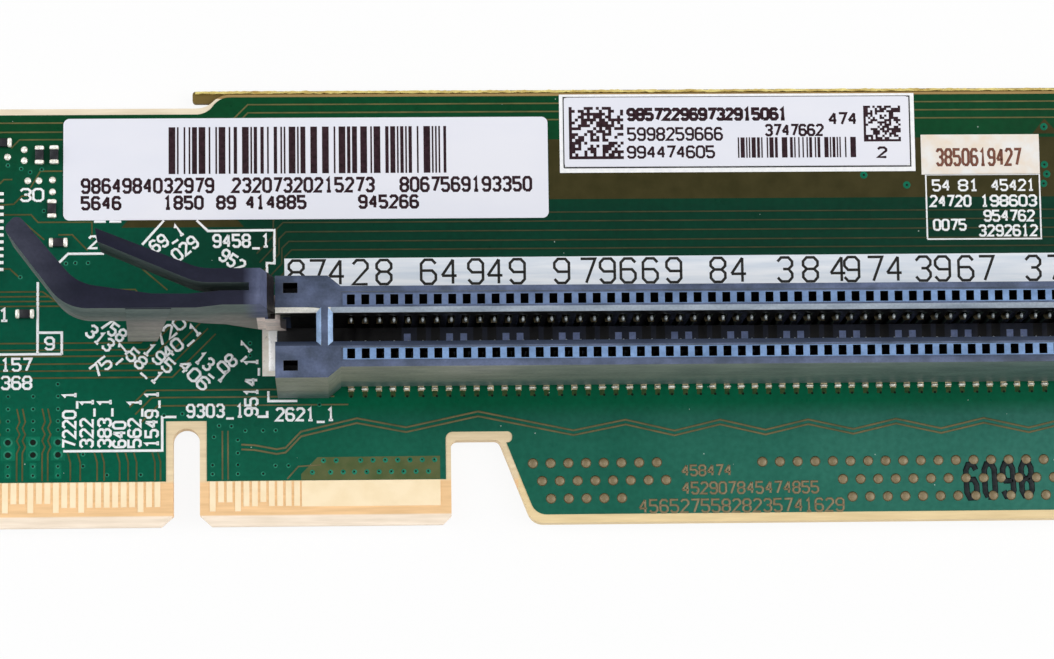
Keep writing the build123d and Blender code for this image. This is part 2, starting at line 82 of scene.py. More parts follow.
def startFinish(name, colour, roughness, metallic=0.0, gloss=0.3):
    material = bpy.data.materials.new(name)
    material.use_nodes = True
    shader = material.node_tree.nodes["Principled BSDF"]
    shader.inputs["Base Color"].default_value = (*colour, 1)
    shader.inputs["Roughness"].default_value = roughness
    shader.inputs["Metallic"].default_value = metallic
    shader.inputs["Specular IOR Level"].default_value = gloss
    return material, material.node_tree, shader


def grainCoords(tree, stretch=(1, 1, 1)):
    # object coordinates in millimetres, stretched for a pattern
    where = addNode(tree, "ShaderNodeTexCoord")
    mapping = addNode(tree, "ShaderNodeMapping")
    mapping.inputs["Scale"].default_value = [1000 * share for share in stretch]
    tree.links.new(where.outputs["Object"], mapping.inputs["Vector"])
    return mapping.outputs["Vector"]


def splitAxes(tree, vector):
    node = addNode(tree, "ShaderNodeSeparateXYZ")
    tree.links.new(vector, node.inputs["Vector"])
    return node.outputs["X"], node.outputs["Y"], node.outputs["Z"]


def reckon(tree, operation, *values):
    node = addNode(tree, "ShaderNodeMath", operation=operation)
    for socket, value in zip(node.inputs, values):
        if isinstance(value, (int, float)):
            socket.default_value = value
        else:
            tree.links.new(value, socket)
    return node.outputs["Value"]


def above(tree, value, limit):
    return reckon(tree, "GREATER_THAN", value, limit)


def below(tree, value, limit):
    return reckon(tree, "LESS_THAN", value, limit)


def within(tree, value, low, high):
    # 1 where the value lies between low and high
    return reckon(tree, "COMPARE", value, (low + high) / 2, (high - low) / 2)


def allOf(tree, first, *others):
    for other in others:
        first = reckon(tree, "MULTIPLY", first, other)
    return first


def rise(tree, value, fromLow, fromHigh, low=0.0, high=1.0):
    node = addNode(tree, "ShaderNodeMapRange")
    for key, number in (("From Min", fromLow), ("From Max", fromHigh), ("To Min", low), ("To Max", high)):
        node.inputs[key].default_value = number
    tree.links.new(value, node.inputs["Value"])
    return node.outputs["Result"]


def noise(tree, coords, scale, detail=3.0):
    node = addNode(tree, "ShaderNodeTexNoise")
    node.inputs["Scale"].default_value = scale
    node.inputs["Detail"].default_value = detail
    tree.links.new(coords, node.inputs["Vector"])
    return node.outputs["Fac"]


def ramp(tree, factor, *stops):
    node = addNode(tree, "ShaderNodeValToRGB")
    elements = node.color_ramp.elements
    while len(elements) < len(stops):
        elements.new(0.5)
    for element, (position, colour) in zip(elements, stops):
        element.position = position
        element.color = (*colour, 1)
    tree.links.new(factor, node.inputs["Fac"])
    return node.outputs["Color"]


def blend(tree, factor, first, second, mode="MIX"):
    node = addNode(tree, "ShaderNodeMix", data_type="RGBA", blend_type=mode)
    for socket, value in ((0, factor), (6, first), (7, second)):
        if isinstance(value, tuple):
            node.inputs[socket].default_value = (*value, 1)
        elif isinstance(value, (float, int)):
            node.inputs[socket].default_value = value
        else:
            tree.links.new(value, node.inputs[socket])
    return node.outputs[2]


def overlay(tree, colour, pattern):
    # a colour made lighter and darker by a pattern round 1
    return blend(tree, 1.0, colour, pattern, "MULTIPLY")


def tint(tree, shader, colour):
    tree.links.new(colour, shader.inputs["Base Color"])


def raiseGrain(tree, shader, height, strength, depth=0.02):
    node = addNode(tree, "ShaderNodeBump")
    node.inputs["Strength"].default_value = strength
    node.inputs["Distance"].default_value = depth * mm
    tree.links.new(height, node.inputs["Height"])
    tree.links.new(node.outputs["Normal"], shader.inputs["Normal"])


print("stage 1: finishes")


def dusty(tree, coords, colour):
    # a fine pale speck every few millimetres
    dust = {"spread": 0.75, "radius": 0.035, "strength": 0.7, "colour": (0.5, 0.6, 0.55)}
    cells = addNode(tree, "ShaderNodeTexVoronoi")
    cells.inputs["Scale"].default_value = dust["spread"]
    tree.links.new(coords, cells.inputs["Vector"])
    near = below(tree, cells.outputs["Distance"], dust["radius"])
    return blend(tree, reckon(tree, "MULTIPLY", near, dust["strength"]), colour, dust["colour"])


def maskFinish():
    # green solder mask, with painted reflection and shade: lighter at the lower right, darker at the top,
    # with drawn tracks on the back only
    look = {"left": (0.0, 0.088, 0.047), "right": (0.026, 0.15, 0.112), "middle": (0.0, 0.031, 0.016),
            "top": (0.001, 0.048, 0.015), "farLeft": (0.0, 0.074, 0.04), "byFeet": (0.0, 0.1, 0.046),
            "backTrack": (0.095, 0.09, 0.035)}
    # from where to where each tone comes in, along x and up y
    alongX = {"lower": (-38, 28), "middle": (-41, -29), "byFeet": (-27, -24)}
    upY = {"middle": (-10, 4), "top": (7, 13), "byFeet": (-8.3, -7.2), "feet": (-9, -5.5)}
    backTracks = {"perMillimetre": 1.55, "share": 0.17, "missing": 0.52, "below": 0.8}
    material, tree, shader = startFinish("solderMask", look["left"], 0.33, gloss=0.07)
    coords = grainCoords(tree)
    x, y, z = splitAxes(tree, coords)
    # painted reflection and shade: the colour runs lighter towards the lower right and darker towards the
    # top
    lower = blend(tree, rise(tree, x, *alongX["lower"]), look["left"], look["right"])
    middle = blend(tree, rise(tree, x, *alongX["middle"]), look["farLeft"], look["middle"])
    shade = blend(tree, rise(tree, y, *upY["middle"]), lower, middle)
    shade = blend(tree, rise(tree, y, *upY["top"]), shade, look["top"])
    byFeet = allOf(tree, rise(tree, y, *upY["byFeet"]), within(tree, y, *upY["feet"]),
                   rise(tree, x, *alongX["byFeet"]))
    shade = blend(tree, byFeet, shade, look["byFeet"])
    cloud = ramp(tree, noise(tree, coords, 0.1), (0.3, (0.7, 0.88, 0.86)), (0.7, (1.3, 1.12, 1.14)))
    speck = ramp(tree, noise(tree, coords, 2.4, 2), (0.3, (0.86, 0.9, 0.9)), (0.7, (1.14, 1.1, 1.1)))
    shade = overlay(tree, overlay(tree, shade, cloud), speck)
    lanes = reckon(tree, "FRACT", reckon(tree, "MULTIPLY", y, backTracks["perMillimetre"]))
    track = within(tree, lanes, 0.0, backTracks["share"])
    patches = noise(tree, grainCoords(tree, (0.2, 1, 1)), 0.45, 1)
    region = above(tree, patches, backTracks["missing"])
    behind = allOf(tree, track, region, below(tree, z, backTracks["below"]))
    tint(tree, shader, dusty(tree, coords, blend(tree, behind, shade, look["backTrack"])))
    weave = addNode(tree, "ShaderNodeTexWave", wave_type="BANDS", bands_direction="X")
    weave.inputs["Scale"].default_value = 0.32
    weave.inputs["Distortion"].default_value = 1.5
    tree.links.new(coords, weave.inputs["Vector"])
    pits = reckon(tree, "ADD", weave.outputs["Fac"], noise(tree, coords, 1.6, 4))
    raiseGrain(tree, shader, pits, 0.16)
    tree.links.new(rise(tree, noise(tree, coords, 0.9), 0.3, 0.7, 0.27, 0.42), shader.inputs["Roughness"])
    return material


def laminateFinish():
    # bare glass laminate: pale bevel, warm finger zone, cream border, brown where the panel was snapped off
    look = {"bevel": (0.96, 0.83, 0.69), "zone": (0.91, 0.6, 0.32), "border": (0.84, 0.68, 0.45),
            "top": (0.84, 0.74, 0.58), "low": (0.84, 0.66, 0.38), "snapped": (0.34, 0.22, 0.08),
            "web": (0.15, 0.1, 0.02)}
    upY = {"tongue": (boardLow.y, boardLow.y + 3.4), "top": (12.5, 15.15), "snapped": (15.15, 16.0),
           "web": (14.7, 16.0)}
    tongueX = (fingerLow.x - 1.5, -10.5)
    webZ = (0.4, 1.2)
    material, tree, shader = startFinish("laminate", look["border"], 0.6)
    coords = grainCoords(tree)
    x, y, z = splitAxes(tree, coords)
    fromEdge = rise(tree, y, *upY["tongue"])
    tone = ramp(tree, fromEdge, (0.0, look["bevel"]), (0.2, look["bevel"]), (0.23, look["zone"]),
                (0.9, look["zone"]), (0.97, look["border"]), (1.0, look["border"]))
    tone = blend(tree, within(tree, x, *tongueX), look["low"], tone)
    tone = blend(tree, within(tree, y, *upY["top"]), tone, look["top"])
    tone = blend(tree, within(tree, y, *upY["snapped"]), tone, look["snapped"])
    tone = blend(tree, allOf(tree, within(tree, z, *webZ), within(tree, y, *upY["web"])), tone, look["web"])
    fibre = noise(tree, grainCoords(tree, (0.25, 3, 3)), 1.2, 4)
    spot = ramp(tree, fibre, (0.3, (0.9, 0.87, 0.82)), (0.7, (1.07, 1.06, 1.05)))
    tint(tree, shader, overlay(tree, tone, spot))
    raiseGrain(tree, shader, fibre, 0.4, 0.03)
    return material


def metalFinish(name, dark, light, roughness, metallic=0.4, scale=1.5, bump=0.15):
    # plating and solder: uneven tone, uneven gloss
    material, tree, shader = startFinish(name, light, roughness, metallic, 0.5)
    coords = grainCoords(tree)
    tint(tree, shader, ramp(tree, noise(tree, coords, scale, 4), (0.3, dark), (0.62, light)))
    gloss = rise(tree, noise(tree, coords, scale * 2.3), 0.3, 0.7, roughness * 0.75, roughness * 1.3)
    tree.links.new(gloss, shader.inputs["Roughness"])
    raiseGrain(tree, shader, noise(tree, coords, scale * 3), bump)
    return material


def resinGrain(tree, shader, coords, colour, roughness, grain):
    # flow streaks and a fine matt grain over the given colour
    streaks = ramp(tree, noise(tree, grainCoords(tree, (0.25, 0.8, 0.8)), 1.3, 4), (0.32, (0.78, 0.8, 0.82)),
                   (0.68, (1.24, 1.22, 1.2)))
    fleck = ramp(tree, noise(tree, coords, grain * 2, 2), (0.25, (0.86, 0.86, 0.87)),
                 (0.75, (1.15, 1.14, 1.13)))
    tint(tree, shader, overlay(tree, overlay(tree, colour, streaks), fleck))
    gloss = rise(tree, noise(tree, coords, grain), 0.3, 0.7, roughness * 0.85, roughness * 1.2)
    tree.links.new(gloss, shader.inputs["Roughness"])
    raiseGrain(tree, shader, noise(tree, coords, grain * 1.7, 4), 0.22)


def facing(tree):
    where = addNode(tree, "ShaderNodeTexCoord")
    return splitAxes(tree, where.outputs["Normal"])


def slotFinish():
    # slot nylon with painted light: tops painted cool as a reflection from overhead, paler ribs in the
    # window bands as painted sheen, greyer sides as painted board reflection and shade, near black painted
    # shade inside the channel, the cells and the holes
    look = {"top": (0.074, 0.093, 0.15), "sideLeft": (0.2, 0.215, 0.175), "sideRight": (0.08, 0.125, 0.115),
            "foot": (0.09, 0.14, 0.13), "lowRibSheen": (0.17, 0.28, 0.49), "highRibSheen": (0.1, 0.14, 0.25),
            "litLeadIn": (0.34, 0.4, 0.47), "litBlockLeadIn": (0.8, 0.8, 0.74),
            "dimLeadIn": (0.03, 0.042, 0.075), "litEndLeadIn": (0.36, 0.52, 0.78),
            "inside": (0.003, 0.003, 0.004), "deepShade": (0.018, 0.022, 0.038), "plateGlint": (0.24, 0.31, 0.56)}
    # where each place lies: out from the slot's axis, along it, and in height
    out = {"channel": 1.03, "leadIn": 1.45, "rib": (1.48, 2.29), "cell": (1.48, 2.28), "hole": (2.3, 3.1)}
    along = {"side": (slotLow.x, 26), "highRibSheen": (-20, 24), "channel": (slotLow.x + 0.05, slotHigh.x - 0.2),
             "cell": (firstContact - 0.4, contactHigh.x + 0.2),
             "hole": (firstContact - 4.7, firstContact - 3.64)}
    start = {"rib": firstContact - 0.55, "leadIn": firstContact - 1.4, "plates": firstContact + 3.6}
    height = {"foot": (faceZ + 4.6, faceZ + 1.8), "rib": (slotTop - 0.13, slotTop - 0.07),
              "channel": (2.2, slotTop - 0.36), "cell": (2.2, slotTop - 0.14),
              "hole": (slotTop - 2.7, slotTop - 0.04)}
    plates = {"openFrom": 0.18, "paleFrom": 0.26, "paleUpTo": 0.56}
    material, tree, shader = startFinish("slotNylon", look["top"], 0.42, gloss=0.2)
    coords = grainCoords(tree)
    x, y, z = splitAxes(tree, coords)
    nx, ny, nz = facing(tree)
    across = reckon(tree, "SUBTRACT", y, slotAxis)
    aside = reckon(tree, "ABSOLUTE", across)
    upward = above(tree, nz, 0.9)
    leadIn = allOf(tree, within(tree, nz, 0.4, 0.9), below(tree, aside, out["leadIn"]))
    # painted board reflection and shade on the sides: greyer than the tops, lighter at the left, darker and
    # greener towards the foot
    side = blend(tree, rise(tree, x, *along["side"]), look["sideLeft"], look["sideRight"])
    colour = blend(tree, rise(tree, z, *height["foot"]), side, look["foot"])
    # random mottling on the tops, partly a painted patchy sheen
    mottle = ramp(tree, noise(tree, coords, 0.6, 6), (0.35, (0.66, 0.7, 0.7)), (0.62, (1.25, 1.28, 1.36)))
    top = overlay(tree, look["top"], mottle)
    # tops painted cool as a reflection from overhead
    colour = blend(tree, upward, colour, top)
    # painted sheen: the ribs in the window bands are paler than the tops, and the upper ribs grow brighter
    # towards the right
    band = allOf(tree, upward, within(tree, z, *height["rib"]), within(tree, aside, *out["rib"]),
                 above(tree, x, start["rib"]))
    high = blend(tree, rise(tree, x, *along["highRibSheen"]), look["highRibSheen"], look["lowRibSheen"])
    rib = blend(tree, above(tree, across, 0), look["lowRibSheen"], high)
    colour = blend(tree, band, colour, rib)
    # painted light on the lead-in chamfers: lit where they face -y and near white by the end block, pale
    # blue where they face along x, and painted shade where they face +y
    lit = blend(tree, below(tree, x, start["leadIn"]), look["litLeadIn"], look["litBlockLeadIn"])
    colour = blend(tree, allOf(tree, leadIn, below(tree, ny, -0.4)), colour, lit)
    dim = allOf(tree, leadIn, above(tree, ny, 0.4))
    colour = blend(tree, dim, colour, look["dimLeadIn"])
    ends = above(tree, reckon(tree, "ABSOLUTE", nx), 0.4)
    colour = blend(tree, allOf(tree, leadIn, ends), colour, look["litEndLeadIn"])
    # painted shade: near black inside the channel, the cells and the holes
    channel = allOf(tree, within(tree, x, *along["channel"]), below(tree, aside, out["channel"]),
                    within(tree, z, *height["channel"]))
    cells, holes = (allOf(tree, within(tree, x, *along[part]), within(tree, aside, *out[part]),
                          within(tree, z, *height[part])) for part in ("cell", "hole"))
    inside = reckon(tree, "MAXIMUM", reckon(tree, "MAXIMUM", channel, cells), holes)
    colour = blend(tree, inside, colour, look["inside"])
    # deep in the channel the floor gets painted shade; of every four cells two open ones are painted near
    # black as shade, and the next two get pale plates as a painted highlight
    place = reckon(tree, "ADD", x, 0.5 - firstContact)
    inCell = reckon(tree, "PINGPONG", place, 0.5)
    openPair = within(tree, reckon(tree, "MODULO", reckon(tree, "FLOOR", place), 4), 0.5, 2.5)
    deep = allOf(tree, channel, upward, above(tree, x, start["plates"]))
    colour = blend(tree, deep, colour, look["deepShade"])
    cellShade = allOf(tree, deep, openPair, above(tree, inCell, plates["openFrom"]))
    colour = blend(tree, cellShade, colour, look["inside"])
    cellGlint = allOf(tree, deep, reckon(tree, "SUBTRACT", 1, openPair),
                     above(tree, inCell, plates["paleFrom"]),
                     below(tree, across, plates["paleUpTo"]))
    resinGrain(tree, shader, coords, blend(tree, cellGlint, colour, look["plateGlint"]), 0.42, 3.0)
    return material


def latchFinish():
    # latch nylon with painted light: dark on top, sides painted greyer and lighter towards the foot, bluish
    # up high by the root, painted shade in the gap by the slot, and a pale painted highlight on the nose
    look = {"top": (0.01, 0.011, 0.023), "leftTop": (0.036, 0.039, 0.06), "sideLow": (0.36, 0.35, 0.32),
            "sideMiddle": (0.2, 0.192, 0.185), "sideHigh": (0.09, 0.12, 0.115), "nose": (0.85, 0.74, 0.7),
            "root": (0.085, 0.1, 0.17), "gap": (0.008, 0.006, 0.006)}
    alongX = {"leftTop": (-41, -45), "root": (slotLow.x - 2.1, slotLow.x - 1.1),
              "nose": (slotLow.x - 1.3, slotLow.x + 1)}
    gapShadeX = slotLow.x - 0.5
    upZ = {"side": (2, latchHigh.z), "nose": (4, 11.4)}
    material, tree, shader = startFinish("latchNylon", look["top"], 0.5, gloss=0.1)
    coords = grainCoords(tree)
    x, y, z = splitAxes(tree, coords)
    nz = facing(tree)[2]
    # painted light: the sides are painted lighter than the top, lightest towards the foot as light from
    # below, and darker higher up as shade
    side = ramp(tree, rise(tree, z, *upZ["side"]), (0.0, look["sideLow"]), (0.55, look["sideMiddle"]),
                (0.8, look["sideHigh"]))
    # the top is a little lighter towards its left end
    top = blend(tree, rise(tree, x, *alongX["leftTop"]), look["top"], look["leftTop"])
    colour = blend(tree, above(tree, nz, 0.6), side, top)
    high = above(tree, z, upZ["nose"][1])
    colour = blend(tree, allOf(tree, rise(tree, x, *alongX["root"]), high), colour, look["root"])
    # painted shade: a near black strip in the gap between the latch and the slot's end, up high
    gap = allOf(tree, above(tree, x, gapShadeX), high)
    colour = blend(tree, gap, colour, look["gap"])
    # painted highlight: the nose is painted pale
    nose = allOf(tree, within(tree, x, *alongX["nose"]), within(tree, z, *upZ["nose"]))
    colour = blend(tree, nose, colour, look["nose"])
    resinGrain(tree, shader, coords, colour, 0.5, 2.4)
    return material


def resinFinish(name, colour, roughness, grain):
    material, tree, shader = startFinish(name, colour, roughness, gloss=0.2)
    resinGrain(tree, shader, grainCoords(tree), colour, roughness, grain)
    return material


def trackFinish():
    # copper lines under the mask: olive at the top, faint beside the white band, browner at the lower left
    look = {"top": (0.13, 0.12, 0.045), "band": (0.042, 0.048, 0.022), "left": (0.095, 0.088, 0.03),
            "low": (0.145, 0.13, 0.062)}
    leftX = (-30, -36)
    upY = {"band": (-6, 1), "top": (8, 12)}
    material, tree, shader = startFinish("tracedCopper", look["top"], 0.4, gloss=0.1)
    coords = grainCoords(tree)
    x, y, z = splitAxes(tree, coords)
    leftward = rise(tree, x, *leftX)
    low = blend(tree, leftward, look["low"], look["left"])
    tone = blend(tree, rise(tree, y, *upY["band"]), low, blend(tree, leftward, look["band"], look["left"]))
    tone = blend(tree, rise(tree, y, *upY["top"]), tone, look["top"])
    patchy = ramp(tree, noise(tree, coords, 0.7, 4), (0.3, (0.7, 0.8, 0.8)), (0.65, (1.25, 1.15, 1.15)))
    tint(tree, shader, overlay(tree, tone, patchy))
    raiseGrain(tree, shader, noise(tree, coords, 3.0), 0.2, 0.01)
    return material


def coatFinish(name, dark, light, roughness=0.5, stretch=(1, 1, 1), scale=3.0, bump=0.2):
    # ink, film or masked copper: faint mottling and a slightly uneven surface
    material, tree, shader = startFinish(name, light, roughness, gloss=0.1)
    coords = grainCoords(tree, stretch)
    tint(tree, shader, ramp(tree, noise(tree, coords, scale, 3), (0.3, dark), (0.65, light)))
    raiseGrain(tree, shader, noise(tree, coords, scale * 2, 2), bump, 0.01)
    return material


maskGreen = maskFinish()
laminate = laminateFinish()
slotNylon = slotFinish()
latchNylon = latchFinish()
tracedCopper = trackFinish()
planeCopper = coatFinish("planeCopper", (0.028, 0.024, 0.004), (0.042, 0.035, 0.009), 0.4, scale=0.8)
powerCopper = coatFinish("powerCopper", (0.07, 0.1, 0.035), (0.11, 0.125, 0.05), 0.34, scale=0.9)
footCopper = coatFinish("footCopper", (0.01, 0.05, 0.015), (0.05, 0.075, 0.025), 0.4)
goldPlate = metalFinish("goldPlate", (0.9, 0.72, 0.46), (0.95, 0.78, 0.53), 0.42, 0.15, 0.8, 0.08)
springMetal = metalFinish("springMetal", (0.2, 0.16, 0.08), (0.48, 0.4, 0.24), 0.35, 0.4)
polishedTip = metalFinish("polishedTip", (0.2, 0.24, 0.26), (0.62, 0.68, 0.7), 0.3, 0.2)
tinnedSteel = metalFinish("tinnedSteel", (0.93, 0.9, 0.89), (1.0, 0.99, 0.99), 0.3, 0.15, 0.9)
solder = metalFinish("solder", (0.5, 0.46, 0.36), (1.0, 0.98, 0.92), 0.2, 0.35, 3.5, 0.5)
padTin = metalFinish("padTin", (0.8, 0.72, 0.6), (0.96, 0.92, 0.85), 0.35, 0.3, 1.6, 0.2)
bareTin = metalFinish("bareTin", (0.15, 0.105, 0.045), (0.2, 0.15, 0.075), 0.38, 0.12, 2.0, 0.25)
mouldCompound = resinFinish("mouldCompound", (0.012, 0.012, 0.015), 0.5, 4.0)
ceramic = resinFinish("ceramic", (0.014, 0.014, 0.018), 0.3, 5.0)
labelFilm = coatFinish("labelFilm", (0.78, 0.79, 0.88), (0.83, 0.83, 0.9), 0.45, (0.3, 1, 1), 0.25, 0.05)
labelPrint = coatFinish("labelPrint", (0.012, 0.004, 0.006), (0.034, 0.014, 0.02))
whiteInk = coatFinish("whiteInk", (0.86, 0.87, 0.9), (0.97, 0.97, 0.98), 0.55)
panelInk = coatFinish("panelInk", (0.84, 0.71, 0.58), (0.86, 0.84, 0.82), 0.55, scale=0.8)
bandInk = coatFinish("bandInk", (0.68, 0.74, 0.84), (0.88, 0.9, 0.96), 0.5, (0.12, 1.6, 1), 1.3)
darkInk = coatFinish("darkInk", (0.012, 0.012, 0.012), (0.03, 0.028, 0.026))
stampInk = coatFinish("stampInk", (0.14, 0.05, 0.035), (0.22, 0.09, 0.06))
markerInk = coatFinish("markerInk", (0.004, 0.006, 0.008), (0.016, 0.022, 0.024), 0.3)
holeShade = coatFinish("holeShade", (0.0, 0.004, 0.002), (0.004, 0.01, 0.006), 0.6)
paleMask = coatFinish("paleMask", (0.0, 0.1, 0.052), (0.0, 0.15, 0.08), 0.33, scale=1.2)
viaGreen = coatFinish("viaGreen", (0.0, 0.13, 0.075), (0.03, 0.24, 0.15), 0.25)
brokenFibre = coatFinish("brokenFibre", (0.46, 0.31, 0.08), (0.84, 0.73, 0.28), 0.6, (0.4, 1, 1), 1.6, 0.6)

keptFinishes = {
    "circuit_board": laminate,
    "solder_mask_front": maskGreen,
    "solder_mask_back": maskGreen,
    "edge_fingers_front": goldPlate,
    "edge_fingers_back": goldPlate,
    "power_pad_front": goldPlate,
    "power_pad_back": goldPlate,
    "slot_contacts_upper": springMetal,
    "slot_contacts_lower": springMetal,
    "controller_leads": tinnedSteel,
    "large_label": labelFilm,
    "small_label": labelFilm,
}
for nodeName, material in keptFinishes.items():
    data = nodes[nodeName].data
    data.materials.clear()
    data.materials.append(material)


# Shapes
def putInScene(name, data):
    thing = bpy.data.objects.new(name, data)
    bpy.context.scene.collection.objects.link(thing)
    return thing


def addPiece(name, mesh, material, body="riser"):
    piece = putInScene(name, mesh)
    mesh.materials.append(material)
    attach(piece, body)
    return piece


def pieceFrom(name, bm, material, body="riser", smooth=False):
    bmesh.ops.recalc_face_normals(bm, faces=bm.faces)
    for face in bm.faces:
        face.smooth = smooth
    mesh = bpy.data.meshes.new(name)
    bm.to_mesh(mesh)
    bm.free()
    return addPiece(name, mesh, material, body)


def addBlock(bm, x0, x1, y0, y1, z0, z1):
    centre = Vector(((x0 + x1) / 2, (y0 + y1) / 2, (z0 + z1) / 2)) * mm
    size = Matrix.Diagonal(((x1 - x0) * mm, (y1 - y0) * mm, (z1 - z0) * mm, 1))
    bmesh.ops.create_cube(bm, size=1, matrix=Matrix.Translation(centre) @ size)


def addField(bm, corners, z0, z1):
    # a flat area with the given corners, raised from z0 to z1
    face = bm.faces.new([bm.verts.new((x * mm, y * mm, z0 * mm)) for x, y in corners])
    raised = bmesh.ops.extrude_face_region(bm, geom=[face])["geom"]
    tops = [item for item in raised if isinstance(item, bmesh.types.BMVert)]
    bmesh.ops.translate(bm, verts=tops, vec=(0, 0, (z1 - z0) * mm))


def addDisc(bm, x, y, radius, z0, z1, segments=10, topRadius=None):
    place = Matrix.Translation((x * mm, y * mm, (z0 + z1) / 2 * mm))
    top = radius if topRadius is None else topRadius
    bmesh.ops.create_cone(bm, cap_ends=True, segments=segments, radius1=radius * mm,
                          radius2=top * mm, depth=(z1 - z0) * mm, matrix=place)


def domeShape(segments, rings):
    # a closed half ball of radius 1, flat below
    bm = bmesh.new()
    bmesh.ops.create_uvsphere(bm, u_segments=segments, v_segments=2 * rings, radius=1)
    everything = list(bm.verts) + list(bm.edges) + list(bm.faces)
    bmesh.ops.bisect_plane(bm, geom=everything, plane_co=(0, 0, 0.05), plane_no=(0, 0, -1), clear_outer=True)
    bmesh.ops.holes_fill(bm, edges=[edge for edge in bm.edges if edge.is_boundary])
    shape = bpy.data.meshes.new("domeShape")
    bm.to_mesh(shape)
    bm.free()
    return shape


def addCopies(bm, shape, places):
    # one copy of a shape for each place and size
    count = len(shape.vertices)
    for place, size in places:
        bm.from_mesh(shape)
        bm.verts.ensure_lookup_table()
        move = Matrix.Translation(Vector(place) * mm) @ Matrix.Diagonal((*(Vector(size) * mm), 1))
        bmesh.ops.transform(bm, matrix=move, verts=bm.verts[-count:])


def cornerShare(points, index):
    # how much wider the line is across a corner, so that it keeps its width along the way
    if index in (0, len(points) - 1):
        return 1
    before, here, after = (Vector(points[index + step]) for step in (-1, 0, 1))
    turning = (here - before).angle(after - here, 0)
    return 1 / max(math.cos(turning / 2), 0.5)


def strokePiece(name, strokes, z, thickness, material):
    # drawn lines: each stroke is a width and its points
    curve = bpy.data.curves.new(name, "CURVE")
    curve.dimensions = "3D"
    curve.bevel_depth = mm
    curve.bevel_resolution = 1
    curve.use_fill_caps = True
    for width, points in strokes:
        spline = curve.splines.new("POLY")
        spline.points.add(len(points) - 1)
        for index, (x, y) in enumerate(points):
            spline.points[index].co = (x * mm, y * mm, 0, 1)
            spline.points[index].radius = width / 2 * cornerShare(points, index)
    holder = putInScene(name, curve)
    bpy.context.view_layer.update()
    shaped = holder.evaluated_get(bpy.context.evaluated_depsgraph_get())
    mesh = bpy.data.meshes.new_from_object(shaped)
    bpy.data.objects.remove(holder)
    mesh.name = name
    for vert in mesh.vertices:
        vert.co.z = (z + thickness if vert.co.z > 1e-6 * mm else z) * mm
    mesh.materials.clear()
    return addPiece(name, mesh, material)


# Plain numbers, drawn on a grid four wide and six high
digitLines = {
    "0": [[(1, 0), (3, 0), (4, 1), (4, 5), (3, 6), (1, 6), (0, 5), (0, 1), (1, 0)]],
    "1": [[(0.8, 4.8), (2, 6), (2, 0)], [(0.8, 0), (3.2, 0)]],
    "2": [[(0, 5), (1, 6), (3, 6), (4, 5), (4, 4), (0, 0), (4, 0)]],
    "3": [[(0, 5), (1, 6), (3, 6), (4, 5), (4, 4), (3, 3.1), (4, 2), (4, 1), (3, 0), (1, 0), (0, 1)],
          [(1.5, 3.1), (3, 3.1)]],
    "4": [[(3, 0), (3, 6)], [(3, 6), (0, 2)], [(0, 2), (4, 2)]],
    "5": [[(4, 6), (0, 6), (0, 3.4), (3, 3.4), (4, 2.5), (4, 1), (3, 0), (1, 0), (0, 1)]],
    "6": [[(4, 5), (3, 6), (1, 6), (0, 5), (0, 1), (1, 0), (3, 0), (4, 1), (4, 2.3), (3, 3.3), (0, 3.3)]],
    "7": [[(0, 6), (4, 6), (1.5, 0)]],
    "8": [[(1, 3.1), (0, 4), (0, 5), (1, 6), (3, 6), (4, 5), (4, 4), (3, 3.1), (1, 3.1),
           (0, 2.2), (0, 1), (1, 0), (3, 0), (4, 1), (4, 2.2), (3, 3.1)]],
    "9": [[(0, 1), (1, 0), (3, 0), (4, 1), (4, 5), (3, 6), (1, 6), (0, 5), (0, 3.8), (1, 2.8), (4, 2.8)]],
    "_": [[(-0.2, -0.9), (4.2, -0.9)]],
}


def numberStrokes(text, start, direction, height, pitch, width, stroke):
    # start is the foot of the first digit, direction the way that the row runs
    along = Vector(direction).normalized()
    up = Vector((-along.y, along.x))
    strokes = []
    for index, sign in enumerate(text):
        foot = Vector(start) + along * (index * pitch)
        for line in digitLines[sign]:
            points = [foot + along * (x / 4 * width) + up * (y / 6 * height) for x, y in line]
            strokes.append((stroke, [(p.x, p.y) for p in points]))
    return strokes


def numberRow(rng, first, last, height, stroke, tail=""):
    # a row of plain numbers between two ends of its middle line
    gap = height * 0.24
    start, end = Vector(first), Vector(last)
    along = end - start
    count = max(1, round(along.length / (height * 0.83)))
    pitch = (along.length + gap) / count
    text = "".join(rng.choice("0123456789") for _ in range(count))
    if tail and count > len(tail) + 1:
        text = text[: count - len(tail)] + tail
    up = Vector((-along.y, along.x)).normalized()
    foot = start - up * height / 2
    return numberStrokes(text, foot, along, height, pitch, pitch - gap, stroke)


def rowStrokes(text, start, row, direction=(1, 0)):
    # a row whose sizes stand in a dictionary
    return numberStrokes(text, start, direction, row["height"], row["pitch"], row["width"], row["stroke"])


def outlineBox(left, right, bottom, top):
    return [(left, bottom), (right, bottom), (right, top), (left, top), (left, bottom)]


print("stage 2: moulded and metal pieces with their edges broken")
edgeBreaks = {
    "slot_housing": ("slotHousing", slotNylon, "slot_nylon", "riser", 0.05, 2),
    "card_latch": ("cardLatch", latchNylon, "latch_nylon", "latch", 0.16, 3),
    "slot_hold_down_left": ("holdDownLeft", tinnedSteel, "tinned_steel", "riser", 0.08, 2),
    "slot_hold_down_right": ("holdDownRight", tinnedSteel, "tinned_steel", "riser", 0.08, 2),
    "controller_body": ("controllerBody", mouldCompound, "mould_compound", "riser", 0.08, 2),
    "chip_resistor_bodies": ("resistorBodies", ceramic, "ceramic", "riser", 0.04, 2),
    "chip_resistor_terminals": ("resistorTerminals", solder, "solder", "riser", 0.13, 3),
}


